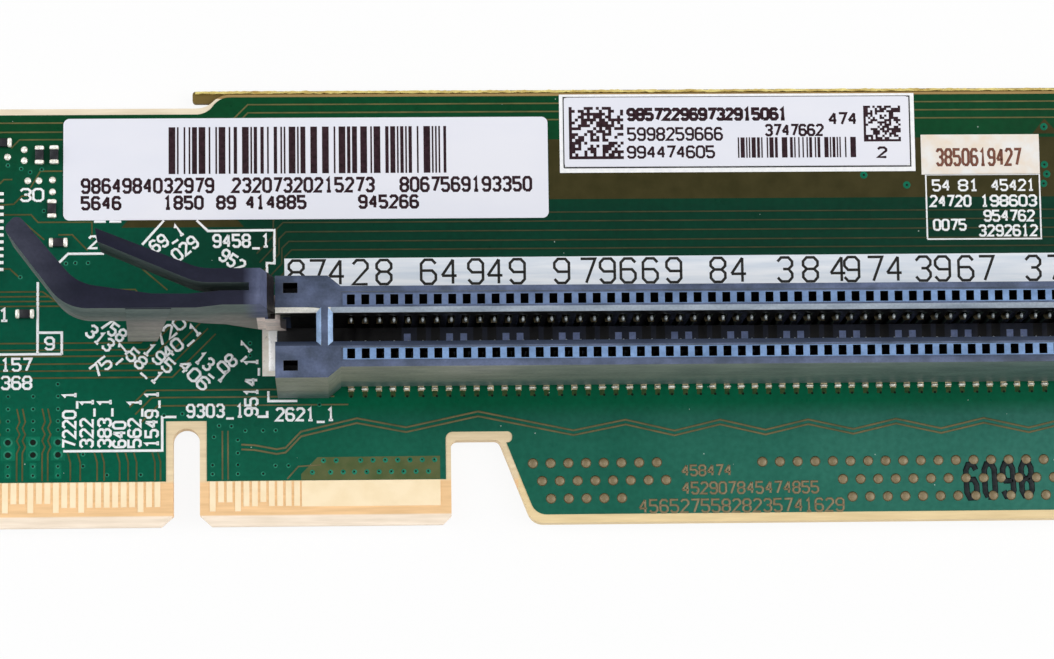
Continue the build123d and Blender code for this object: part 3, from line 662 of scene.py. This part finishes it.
def breakEdges(nodeName, name, material, slot, body, width, segments):
    bm = bmesh.new()
    bm.from_mesh(nodes[nodeName].data)
    bmesh.ops.remove_doubles(bm, verts=bm.verts, dist=0.001 * mm)
    for face in bm.faces:
        face.smooth = True
    mesh = bpy.data.meshes.new(name)
    bm.to_mesh(mesh)
    bm.free()
    piece = addPiece(name, mesh, material, body)
    bevel = piece.modifiers.new("edges", "BEVEL")
    bevel.width = width * mm
    bevel.segments = segments
    bevel.limit_method = "ANGLE"
    bevel.angle_limit = math.radians(28)
    bevel.harden_normals = True
    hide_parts(nodeName)


for nodeName, values in edgeBreaks.items():
    breakEdges(nodeName, *values)


print("stage 3: copper under the mask")
tracks = {"width": 0.12, "zigzagWidth": 0.15, "height": 0.012, "right": 68.0, "left": -69.0}
right = tracks["right"]
routes = [
    [(-31.1, 13.3), (-29.7, 14.7), (right, 14.7)],
    [(-30.3, 13.5), (-29.7, 14.1), (right - 1, 14.1)],
    [(-29.6, 13.2), (-29.3, 13.5), (right - 2, 13.5)],
    [(-56.0, 13.42), (-43.0, 13.42)],
    [(-48.6, 12.0), (-47.8, 12.75), (-43.0, 12.75)],
    [(-46.7, 11.6), (-46.1, 12.2), (-43.0, 12.2)],
    [(-48.3, 8.2), (-47.2, 9.3), (-46.6, 9.3)],
    [(-48.3, 7.4), (-46.5, 7.5), (-45.9, 8.1), (-45.1, 8.1)],
    [(-45.3, 8.7), (-44.6, 9.9), (-43.0, 9.9)],
    [(-47.5, 6.73), (-45.25, 6.73), (-44.75, 6.17), (-40.9, 6.17), (-40.9, 4.9)],
    [(-45.8, 6.2), (-44.3, 4.9)],
    [(-43.3, 5.25), (-42.3, 5.25), (-41.2, 4.1)],
    [(-37.3, 2.75), (-35.5, 1.2)],
    [(-39.3, 1.25), (-37.8, 1.25), (-37.5, 0.9)],
    [(-47.4, 2.8), (-46.75, 2.8), (-46.05, 2.15)],
    [(-69.0, 1.13), (-44.4, 1.13), (-43.3, 0.3)],
    [(-69.0, 0.78), (-44.0, 0.78)],
    [(-68.0, 0.43), (-43.5, 0.43)],
    [(-68.0, 0.08), (-43.0, 0.08)],
    [(-31.6, -9.0), (-31.6, -12.5)],
    [(-31.2, -9.0), (-31.2, -12.5)],
    [(-27.0, -12.5), (-26.2, -11.6), (-24.6, -11.5)],
]
for index, y in enumerate((6.7, 6.05, 5.37, 4.67, 4.05)):
    x = -27.9 + 0.2 * index
    routes.append([(x - 1.2, y - 2.9), (x, y - 1.6), (x, y - 0.5), (x + 0.5, y), (right - index, y)])
for index, y in enumerate((-2.6, -3.1, -3.55, -4.1, -4.6, -5.1)):
    bend = -37.4 + 0.45 * index
    climb = 2.6 + 0.1 * index
    routes.append([(tracks["left"] + index, y), (bend, y), (bend + climb, y + climb)])
for index, y in enumerate((-6.05, -6.57, -7.17)):
    x = -38.2 + 0.4 * index
    routes.append([(x, y - 1.2), (x + 1.2, y), (-24.6 + index, y)])
for x in (-42.6, -41.9, -40.7, -40.2, -39.1, -38.5, -37.9, -36.6, -36.2):
    routes.append([(x, -10.5), (x + 0.2, -11.2), (x + 0.2, -12.5)])
for x in (-66.1, -62.5, -50.7, -50.2, -48.1, -47.6, -46.2, -45.8, -44.4, -44.0):
    waves = [(x + 0.2 * (step % 2), -10.5 + 0.45 * step) for step in range(6)]
    routes.append([(x, -12.5), (x, -10.9)] + waves + [(x, -7.3)])
zigzagGap = 0.34
zigzag = [
    (-30.25, -10.0), (-29.3, -10.05), (-27.75, -10.35), (-27.1, -10.25), (-26.0, -9.1), (-22, -8.17),
    (-18.5, -8.85), (-13.33, -7.75), (-6.5, -9.17), (-2.75, -8.43), (0.75, -9.25), (4.05, -8.48),
]
while zigzag[-1][0] < right - 8:
    x = zigzag[-1][0]
    zigzag += [(x + 3.25, -9.24), (x + 6.35, -8.52)]
strokes = [(tracks["width"], route) for route in routes]
for drop in (0, zigzagGap):
    strokes.append((tracks["zigzagWidth"], [(x, y - drop) for x, y in zigzag]))
strokePiece("copperTracks", strokes, faceZ, tracks["height"], tracedCopper)

planes = {"height": 0.006, "left": -8.0, "bottom": 7.65, "top": 12.05}
plainAreas = [
    outlineBox(planes["left"], right, planes["bottom"], planes["top"])[:4],
    [(-38.8, 5.75), (-30.0, 5.75), (-30.5, 6.3), (-38.3, 6.3)],
    [(27.3, 12.3), (29.2, 12.3), (28.2, 13.4)],
]
planeTop = faceZ + planes["height"]
areas = bmesh.new()
for corners in plainAreas:
    addField(areas, corners, faceZ, planeTop)
pieceFrom("copperAreas", areas, planeCopper)
powerArea = bmesh.new()
corners = [(-26.0, -12.58), (-16.08, -12.58), (-16.08, -10.92), (-24.83, -10.95), (-26.0, -12.15)]
addField(powerArea, corners, faceZ, planeTop)
pieceFrom("powerArea", powerArea, powerCopper)
footLands = {"halfWidth": 0.17, "near": 3.05, "far": 3.5}
lands = bmesh.new()
for x in contactXs:
    for side in (-1, 1):
        low, high = sorted((slotAxis + side * footLands["near"], slotAxis + side * footLands["far"]))
        addBlock(lands, x - footLands["halfWidth"], x + footLands["halfWidth"], low, high, faceZ, planeTop)
pieceFrom("footLands", lands, footCopper)


print("stage 4: vias, bumps and solder")
bumps = {"radius": 0.385, "height": 0.07, "pitch": 1.27}
bumpRows = [
    (-9.45, -11.53, 8), (-8.8, -12.8, 8), (-8.18, -14.07, 5),
    (7.03, -11.55, 46), (12.81, -12.85, 41), (13.47, -14.12, 40),
]
bumpPlaces = []
for start, y, count in bumpRows:
    for index in range(count):
        place = (start + index * bumps["pitch"], y, faceZ)
        bumpPlaces.append((place, (bumps["radius"], bumps["radius"], bumps["height"])))
bumpMesh = bmesh.new()
addCopies(bumpMesh, domeShape(16, 2), bumpPlaces)
pieceFrom("testBumps", bumpMesh, bareTin, smooth=True)

vias = {
    "small": {"radius": 0.17, "top": 0.13, "height": 0.02, "sides": 10, "hole": 0.09, "holeSides": 8},
    "power": {"radius": 0.2, "top": 0.15, "height": 0.03, "sides": 10, "hole": 0.07, "holeSides": 8},
    "bold": {"radius": 0.3, "top": 0.22, "height": 0.02, "sides": 14, "hole": 0.09, "holeSides": 8},
    "wide": {"radius": 0.34, "top": 0.31, "height": 0.012, "sides": 16, "hole": 0.21, "holeSides": 14},
}
footHoles = {"radius": 0.09, "height": 0.01, "sides": 8, "out": 3.47, "spread": (-0.05, 0.18), "seed": 3}
hiddenPads = {"height": 0.003, "large": (0.5, -11.02, -9.3), "small": (0.24, -12.32, -11.2),
              "viaYs": (-9.72, -10.62)}
holeHeight = 0.004
powerShift = 0.02
boldVias = [(14.88, 9.3), (18.0, 8.55), (28.15, 12.8), (28.1, 10.0), (28.25, 9.3), (28.0, 8.6)]
smallVias = [
    (-45.97, 10.08), (-45.33, 9.83), (-44.5, 10.03), (-46.92, 10.33), (-44.33, 7.0), (-46.0, 2.2),
    (-42.75, 3.17), (-42.08, 3.2), (-41.17, 3.2), (-41.5, -10.6), (-41.5, -11.45), (-39.8, -12.1),
    (-37.4, -12.1), (-43.3, -5.55), (-35.75, -7.85), (-34.45, -7.75), (-31.83, -8.63), (-30.95, -8.67),
    (-29.97, -9.0), (-28.7, -9.0), (-27.8, -9.0), (-32.2, -9.43), (-30.5, -9.67), (-30.5, -10.6),
    (-32.3, -11.45), (-30.5, -11.45), (-27.83, -11.53), (-26.9, -11.53), (-32.3, -12.1), (-30.5, -12.1),
    (-28.7, -12.1), (-24.67, -7.17), (-29.6, -2.7), (-29.6, -3.6),
]
columns = (-67.0, -65.2, -63.4, -46.83, -45.05, -43.28)
smallVias += [(x, y) for x in columns for y in (-6.42, -7.33, -8.2, -8.83, -11.45, -12.1)]
powerVias = [(-24.4, -11.2), (-23.5, -11.2), (-25.2, -12.03), (-23.9, -12.03), (-23.0, -12.03)]
powerVias += [(start + 0.88 * step, y)
              for start, y in ((-21.75, -11.2), (-22.2, -12.03)) for step in range(7)]
rng = random.Random(footHoles["seed"])
footVias = [(x + rng.uniform(*footHoles["spread"]), slotAxis + side * footHoles["out"])
            for x in contactXs for side in (-1, 1)]
pads = bmesh.new()
rings = bmesh.new()
holes = bmesh.new()


def addVia(around, x, y, kind, shift=0):
    # a raised ring, and a dark disc drawn on it as painted shade in the hole, shifted to the upper left
    via = vias[kind]
    top = faceZ + via["height"]
    addDisc(around, x, y, via["radius"], faceZ, top, via["sides"], via["top"])
    addDisc(holes, x - shift, y + shift, via["hole"], top, top + holeHeight, via["holeSides"])


for x in columns:
    for halfWidth, bottom, top in (hiddenPads["large"], hiddenPads["small"]):
        addBlock(pads, x - halfWidth, x + halfWidth, bottom, top, faceZ, faceZ + hiddenPads["height"])
for x, y in boldVias:
    addVia(pads, x, y, "bold")
for x, y in smallVias:
    addVia(rings, x, y, "small")
# dark discs as painted shade in the vias by the slot's feet
for x, y in footVias:
    addDisc(holes, x, y, footHoles["radius"], faceZ, faceZ + footHoles["height"], footHoles["sides"])
for x, y in powerVias:
    addVia(rings, x, y, "power", powerShift)
for x in columns:
    for y in hiddenPads["viaYs"]:
        addVia(rings, x, y, "wide")
pieceFrom("padsUnderMask", pads, paleMask)
pieceFrom("viaRings", rings, viaGreen)
pieceFrom("viaHoles", holes, holeShade)

blobs = {"width": (0.24, 0.31), "depth": (0.11, 0.15), "height": (0.24, 0.32), "offset": 2.93, "stray": 0.05,
         "dot": (0.27, 0.27, 0.12)}
blobPlaces = []
for x in contactXs:
    for side in (-1, 1):
        size = [rng.uniform(*blobs[key]) for key in ("width", "depth", "height")]
        place = (x + rng.uniform(-blobs["stray"], blobs["stray"]), slotAxis + side * blobs["offset"], faceZ)
        blobPlaces.append((place, size))
bareDots = [(-45.75, 11.47), (-45.75, 10.67), (-46.95, 10.95), (-45.5, 9.2), (-44.7, 9.2), (-43.73, 9.25),
            (-43.73, 8.38)]
blobPlaces += [((x, y, faceZ), blobs["dot"]) for x, y in bareDots]
blobMesh = bmesh.new()
addCopies(blobMesh, domeShape(10, 3), blobPlaces)
pieceFrom("solderBlobs", blobMesh, solder, smooth=True)

holdDownLands = {"reach": 1.1, "halfWidth": 1.95, "height": 0.05}
lands = bmesh.new()
for wall, side in ((slotLow.x, -1), (slotHigh.x, 1)):
    x0, x1 = sorted((wall, wall + side * holdDownLands["reach"]))
    half = holdDownLands["halfWidth"]
    addBlock(lands, x0, x1, slotAxis - half, slotAxis + half, faceZ, faceZ + holdDownLands["height"])
pieceFrom("holdDownLands", lands, padTin)

screwRings = {"inner": 1.66, "outer": 1.95, "inset": 4.0, "low": 1.55, "high": 1.58}
ringMesh = bmesh.new()
for x in (boardLow.x + screwRings["inset"], boardHigh.x - screwRings["inset"]):
    section = [(screwRings[r] * mm, screwRings[h] * mm) for r, h in
               (("inner", "low"), ("outer", "low"), ("outer", "high"), ("inner", "high"))]
    verts = [ringMesh.verts.new((x * mm + radius, 0, height)) for radius, height in section]
    face = ringMesh.faces.new(verts)
    bmesh.ops.spin(ringMesh, geom=[face], cent=(x * mm, 0, 0), axis=(0, 0, 1), angle=2 * math.pi, steps=36,
                   use_merge=True)
    bmesh.ops.delete(ringMesh, geom=[face], context="FACES_ONLY")
pieceFrom("screwRings", ringMesh, padTin)

tips = {"size": (0.12, 0.22, 0.2), "offset": 0.82, "height": 8.5}
tipMesh = bmesh.new()
places = [((x, slotAxis + side * tips["offset"], faceZ + tips["height"]), tips["size"])
          for x in contactXs for side in (-1, 1)]
addCopies(tipMesh, domeShape(8, 3), places)
pieceFrom("contactTips", tipMesh, polishedTip, smooth=True)


print("stage 5: white ink and plain numbers")
ink = {"height": 0.018, "line": 0.2, "digitHeight": 0.86, "digitStroke": 0.19, "seed": 5}
inkLines = [
    [(-35.75, 6.25), (-37.3, 4.5)],
    [(-33.4, 6.25), (-32.6, 5.47), (-27.83, 5.5), (-27.83, 3.1), (-28.37, 3.1), (-28.37, 2.25)],
    [(-43.37, 3.1), (-42.6, 3.87), (-40.03, 3.87)],
    [(-44.75, 1.83), (-44.75, -3.38)],
    [(-52.5, -3.38), (-43.03, -3.38)],
    [(-44.75, -1.83), (-43.03, -1.83), (-43.03, -3.42)],
    [(-42.9, -10.37), (-35.88, -10.37), (-35.88, -7.97), (-34.87, -7.97)],
    [(-28.3, -6.17), (-28.3, -6.88), (-26.25, -6.88)],
    [(-29.1, -8.0), (-28.4, -8.0), (-28.4, -7.6)],
    [(-40.75, 6.2), (-39.9, 6.2)],
    [(-39.65, 6.2), (-38.8, 6.2)],
]
levelRows = [
    (-32.2, -28.2, 4.74), (-46.0, -44.4, 8.17), (-41.1, -40.5, 4.7), (-47.3, -45.2, -4.13),
    (-47.3, -45.2, -5.43), (-47.5, -46.75, -0.52), (-34.1, -30.1, -7.55), (-27.75, -23.6, -7.85),
    (-44.2, -43.6, -2.62),
]
uprightRows = [
    (-42.48, -10.1, -6.1), (-41.25, -10.1, -6.6), (-39.98, -10.1, -6.6), (-38.93, -10.1, -8.3),
    (-37.85, -10.1, -6.65), (-36.63, -10.1, -6.1), (-29.53, -7.9, -3.8),
]
slantRows = [
    (-40.8, -4.8, -38.4, -2.8), (-36.3, -2.6, -34.4, -1.0),
    (-35.7, -3.5, -33.3, -1.5), (-31.7, -4.6, -29.7, -2.75), (-36.6, 4.25, -34.5, 5.7),
    (-35.0, 3.6, -33.5, 4.8), (-41.1, -1.6, -39.5, -2.9), (-40.1, -1.1, -38.6, -2.2),
    (-38.2, -3.3, -36.0, -5.3), (-37.0, -2.9, -35.2, -4.5), (-34.5, -4.1, -32.7, -5.8),
    (-33.3, -3.6, -31.3, -5.2), (-31.6, 3.8, -30.1, 2.8),
]
inkRows = [(x0, y, x1, y) for x0, x1, y in levelRows] + [(x, y0, x, y1) for x, y0, y1 in uprightRows]
rng = random.Random(ink["seed"])
strokes = [(ink["line"], line) for line in inkLines]
for x0, y0, x1, y1 in inkRows + slantRows:
    strokes += numberRow(rng, (x0, y0), (x1, y1), ink["digitHeight"], ink["digitStroke"], tail="_1")
marks = {"line": 0.13, "box": (19.4, 27.7, 4.55, 9.3), "height": 0.75, "stroke": 0.18}
strokes.append((marks["line"], outlineBox(*marks["box"])))
markRows = ((19.9, 21.1, 8.5), (21.8, 23.2, 8.5), (24.2, 27.3, 8.5), (19.7, 22.6, 7.35), (23.4, 27.4, 7.35),
            (23.6, 27.2, 6.25), (19.9, 22.2, 5.6), (23.2, 27.4, 5.15))
for x0, x1, y in markRows:
    strokes += numberRow(rng, (x0, y), (x1, y), marks["height"], marks["stroke"])
strokePiece("whiteNumbers", strokes, faceZ, ink["height"], whiteInk)

inkTop = faceZ + ink["height"]
whiteBand = {"left": -27.12, "bottom": 0.5, "topLeft": 3.42, "topRight": 3.55}
bandLeft, bandBottom = whiteBand["left"], whiteBand["bottom"]
band = bmesh.new()
addField(band, [(bandLeft, bandBottom), (right, bandBottom), (right, whiteBand["topRight"]),
                (bandLeft, whiteBand["topLeft"])], faceZ, inkTop)
pieceFrom("whiteBand", band, bandInk)
panelPlace = (19.1, 27.75, 9.3, 12.25)
panel = bmesh.new()
addBlock(panel, *panelPlace, faceZ, inkTop)
pieceFrom("whitePanel", panel, panelInk)
margins = {"frame": (0.34, 0.42, 0.43, 0.24), "gap": (0.03, 0.08, 0.06, 0.02), "shadowLineWidth": 0.1,
           "shadowLineHeight": 0.004}


def roundLabel(left, right, bottom, top):
    # how far an outline stands out from the small label
    return smallLow.x - left, smallHigh.x + right, smallLow.y - bottom, smallHigh.y + top


frameInk = bmesh.new()
addBlock(frameInk, *roundLabel(*margins["frame"]), faceZ, inkTop)
pieceFrom("labelFrame", frameInk, whiteInk)
# painted shadow: a thin dark line drawn round the small label's edge
gap = outlineBox(*roundLabel(*margins["gap"]))
strokePiece("labelShadowLine", [(margins["shadowLineWidth"], gap)], inkTop, margins["shadowLineHeight"], darkInk)

bandXs = (-26.8, -25.3, -23.9, -22.2, -20.5, -17.3, -15.8, -13.9, -12.5, -10.9, -7.7, -5.8, -4.4, -2.9, -1.3,
          0.4, 3.6, 5.1, 8.45, 10.3, 12.3, 13.3, 15.0, 16.4, 18.5, 19.9, 21.6, 23.1, 26.5, 28.1, 29.9)
bandDigits = {"foot": 1.52, "height": 1.75, "pitch": 1.4, "width": 1.05, "stroke": 0.2, "lift": 0.006}
strokes = []
for x in bandXs:
    strokes += rowStrokes(rng.choice("23456789"), (x, bandDigits["foot"]), bandDigits)
strokePiece("bandNumbers", strokes, inkTop, bandDigits["lift"], darkInk)
stamp = {"text": "3850619427", "start": (20.25, 10.0), "height": 1.15, "pitch": 0.63, "width": 0.42,
         "stroke": 0.2, "lift": 0.006}
strokes = rowStrokes(stamp["text"], stamp["start"], stamp)
strokePiece("stampNumbers", strokes, inkTop, stamp["lift"], stampInk)
marker = {"text": "6098", "start": (21.75, -14.3), "direction": (1, 0.03), "height": 2.4, "pitch": 1.33,
          "width": 0.72, "stroke": 0.4, "above": 0.02, "lift": 0.01}
strokes = rowStrokes(marker["text"], marker["start"], marker, marker["direction"])
strokePiece("markerNumbers", strokes, faceZ + marker["above"], marker["lift"], markerInk)
etched = {"rows": ((1.25, 4.75, -12.13, 0.72), (1.25, 11.0, -13.4, 0.8), (-1.85, 12.8, -14.68, 0.9)),
          "stroke": 0.17, "lift": 0.014}
strokes = []
for x0, x1, y, height in etched["rows"]:
    strokes += numberRow(rng, (x0, y), (x1, y), height, etched["stroke"])
strokePiece("etchedNumbers", strokes, faceZ, etched["lift"], bareTin)


print("stage 6: label print")
printing = {"lift": 0.008, "pitch": 0.74, "width": 0.5, "stroke": 0.21}
labelZ = largeHigh.z
printTop = labelZ + printing["lift"]
largeRows = [
    (-41.6, 8.3, 13, 0.95), (-30.8, 8.3, 14, 0.95), (-18.7, 8.3, 13, 0.95),
    (-41.6, 7.1, 4, 0.85), (-35.7, 7.1, 4, 0.85), (-31.9, 7.1, 2, 0.85), (-29.8, 7.1, 6, 0.85),
    (-21.7, 7.1, 6, 0.85),
]
strokes = []
for x, y, count, height in largeRows:
    text = "".join(rng.choice("0123456789") for _ in range(count))
    strokes += rowStrokes(text, (x, y), {**printing, "height": height})
smallRows = [
    (-2.2, 9.3, 13.45, 14.2, 0.25), (-2.2, 4.6, 11.95, 12.8, 0.17), (7.8, 11.95, 12.25, 13.0, 0.18),
    (-2.25, 4.0, 10.65, 11.45, 0.17), (12.45, 14.4, 13.05, 13.85, 0.18), (15.95, 16.55, 10.6, 11.3, 0.18),
]
for x0, x1, y0, y1, stroke in smallRows:
    strokes += numberRow(rng, (x0, (y0 + y1) / 2), (x1, (y0 + y1) / 2), y1 - y0, stroke)
strokePiece("labelNumbers", strokes, labelZ, printing["lift"], labelPrint)


def barCode(bm, x0, x1, y0, y1, module):
    # random bars and gaps, one to four modules wide
    x = x0
    while x < x1:
        width = rng.choice((1, 1, 1, 1, 2, 2, 3, 4)) * module
        addBlock(bm, x, min(x + width, x1), y0, y1, labelZ, printTop)
        x += width + rng.choice((1, 1, 2, 3)) * module


codeFill = 0.52


def squareCode(bm, x0, x1, y0, y1, cells):
    # a random field of square cells with a solid line on two sides
    wide = (x1 - x0) / cells
    high = (y1 - y0) / cells
    for row in range(cells):
        run = 0
        for column in range(cells + 1):
            solid = column < cells and (row == 0 or column == 0 or rng.random() < codeFill)
            if solid:
                run += 1
            elif run:
                left, foot = x0 + (column - run) * wide, y0 + row * high
                addBlock(bm, left, left + run * wide, foot, y0 + (row + 1) * high, labelZ, printTop)
                run = 0


# each code's left, right, bottom and top, then its module or its number of cells
barCodes = ((-35.4, -15.4, 9.62, 13.05, 0.12), (5.75, 14.35, 10.6, 12.1, 0.1))
squareCodes = ((-6.5, -2.55, 10.55, 14.4, 18), (14.95, 17.65, 11.75, 14.4, 16))
codes = bmesh.new()
for values in barCodes:
    barCode(codes, *values)
for values in squareCodes:
    squareCode(codes, *values)
pieceFrom("labelCodes", codes, labelPrint)


print("stage 7: snapped edge")
snapped = {"left": -33.5, "rightGap": 0.3, "depth": 0.2, "inset": 0.03, "top": 1.3, "bottom": 1.0,
           "cuts": 420, "seed": 9, "above": 1.2, "rise": (-0.09, 0.05), "push": (-0.05, 0.02)}
ridge = bmesh.new()
addBlock(ridge, snapped["left"], boardHigh.x - snapped["rightGap"], boardHigh.y - snapped["depth"],
         boardHigh.y - snapped["inset"], snapped["bottom"], snapped["top"])
lengthways = [e for e in ridge.edges if abs(e.verts[0].co.x - e.verts[1].co.x) > 10 * mm]
bmesh.ops.subdivide_edges(ridge, edges=lengthways, cuts=snapped["cuts"])
rng = random.Random(snapped["seed"])
for vert in ridge.verts:
    vert.co.z += rng.uniform(*snapped["rise"]) * mm if vert.co.z > snapped["above"] * mm else 0
    vert.co.y += rng.uniform(*snapped["push"]) * mm
pieceFrom("snappedRidge", ridge, brokenFibre)


print("stage 8: studio")
studio = {"horizon": 0.9, "zenith": 0.14, "whiteFloor": 0.9, "floorHalf": 1.5, "floorZ": -0.0003}
lamps = {
    "rightLamp": {"place": (0.38, 0.0, 0.42), "size": (0.35, 0.6), "energy": 2.15,
                  "colour": (1.0, 0.985, 0.96)},
    "leftLamp": {"place": (-0.4, 0.02, 0.42), "size": (0.35, 0.6), "energy": 1.5,
                 "colour": (0.93, 0.97, 1.0)},
}


def softLamp(name, place, size, energy, colour):
    data = bpy.data.lights.new(name, "AREA")
    data.shape = "RECTANGLE"
    data.size, data.size_y = size
    data.energy = energy
    data.color = colour
    lamp = putInScene(name, data)
    lamp.location = place
    lamp.rotation_euler = (-Vector(place)).to_track_quat("-Z", "Y").to_euler()


for name, values in lamps.items():
    softLamp(name, **values)


def plainlySeen(tree):
    # 1 for what the camera, a reflection or glass shows
    seen = addNode(tree, "ShaderNodeLightPath").outputs
    mirrored = reckon(tree, "MAXIMUM", seen["Is Glossy Ray"], seen["Is Transmission Ray"])
    return reckon(tree, "MAXIMUM", seen["Is Camera Ray"], mirrored)


# The room is white to look at, and lights the card more from round the horizon than from overhead
world = bpy.data.worlds.new("paleRoom")
bpy.context.scene.world = world
world.use_nodes = True
room = world.node_tree
roomDirection = addNode(room, "ShaderNodeTexCoord")
overhead = splitAxes(room, roomDirection.outputs["Generated"])[2]
strength = rise(room, reckon(room, "ABSOLUTE", overhead), 0, 1, studio["horizon"], studio["zenith"])
strength = reckon(room, "MAXIMUM", plainlySeen(room), strength)
room.links.new(strength, room.nodes["Background"].inputs["Strength"])
room.nodes["Background"].inputs["Color"].default_value = (1, 1, 1, 1)

floorMesh = bpy.data.meshes.new("whiteFloor")
floorShape = bmesh.new()
bmesh.ops.create_grid(floorShape, x_segments=1, y_segments=1, size=studio["floorHalf"],
                      matrix=Matrix.Translation((0, 0, studio["floorZ"])))
floorShape.to_mesh(floorMesh)
floorShape.free()
floor = putInScene("whiteFloor", floorMesh)
floorFinish, tree, shader = startFinish("whiteFloor", (0.9, 0.9, 0.9), 0.8, gloss=0.1)
floorMesh.materials.append(floorFinish)
glow = addNode(tree, "ShaderNodeEmission")
glow.inputs["Strength"].default_value = 1.0
joined = addNode(tree, "ShaderNodeMixShader")
tree.links.new(reckon(tree, "MULTIPLY", plainlySeen(tree), studio["whiteFloor"]), joined.inputs["Fac"])
tree.links.new(shader.outputs["BSDF"], joined.inputs[1])
tree.links.new(glow.outputs["Emission"], joined.inputs[2])
tree.links.new(joined.outputs["Shader"], tree.nodes["Material Output"].inputs["Surface"])

view = {
    "place": (-23.107, -42.83, 286.02),
    "right": (0.99889318, -0.01375525, 0.04498013),
    "up": (0.00719216, 0.98970527, 0.14293967),
    "lens": 136.7,
    "sensor": 36,
    "nearest": 0.01,
}
cameraData = bpy.data.cameras.new("camera")
cameraData.lens = view["lens"]
cameraData.sensor_width = view["sensor"]
cameraData.clip_start = view["nearest"]
camera = putInScene("camera", cameraData)
rightWay = Vector(view["right"]).normalized()
backWay = rightWay.cross(Vector(view["up"])).normalized()
upWay = backWay.cross(rightWay)
turn = Matrix((rightWay, upWay, backWay)).transposed()
camera.matrix_world = Matrix.LocRotScale(Vector(view["place"]) * mm, turn, None)
bpy.context.scene.camera = camera
bpy.context.scene.view_settings.view_transform = "Standard"
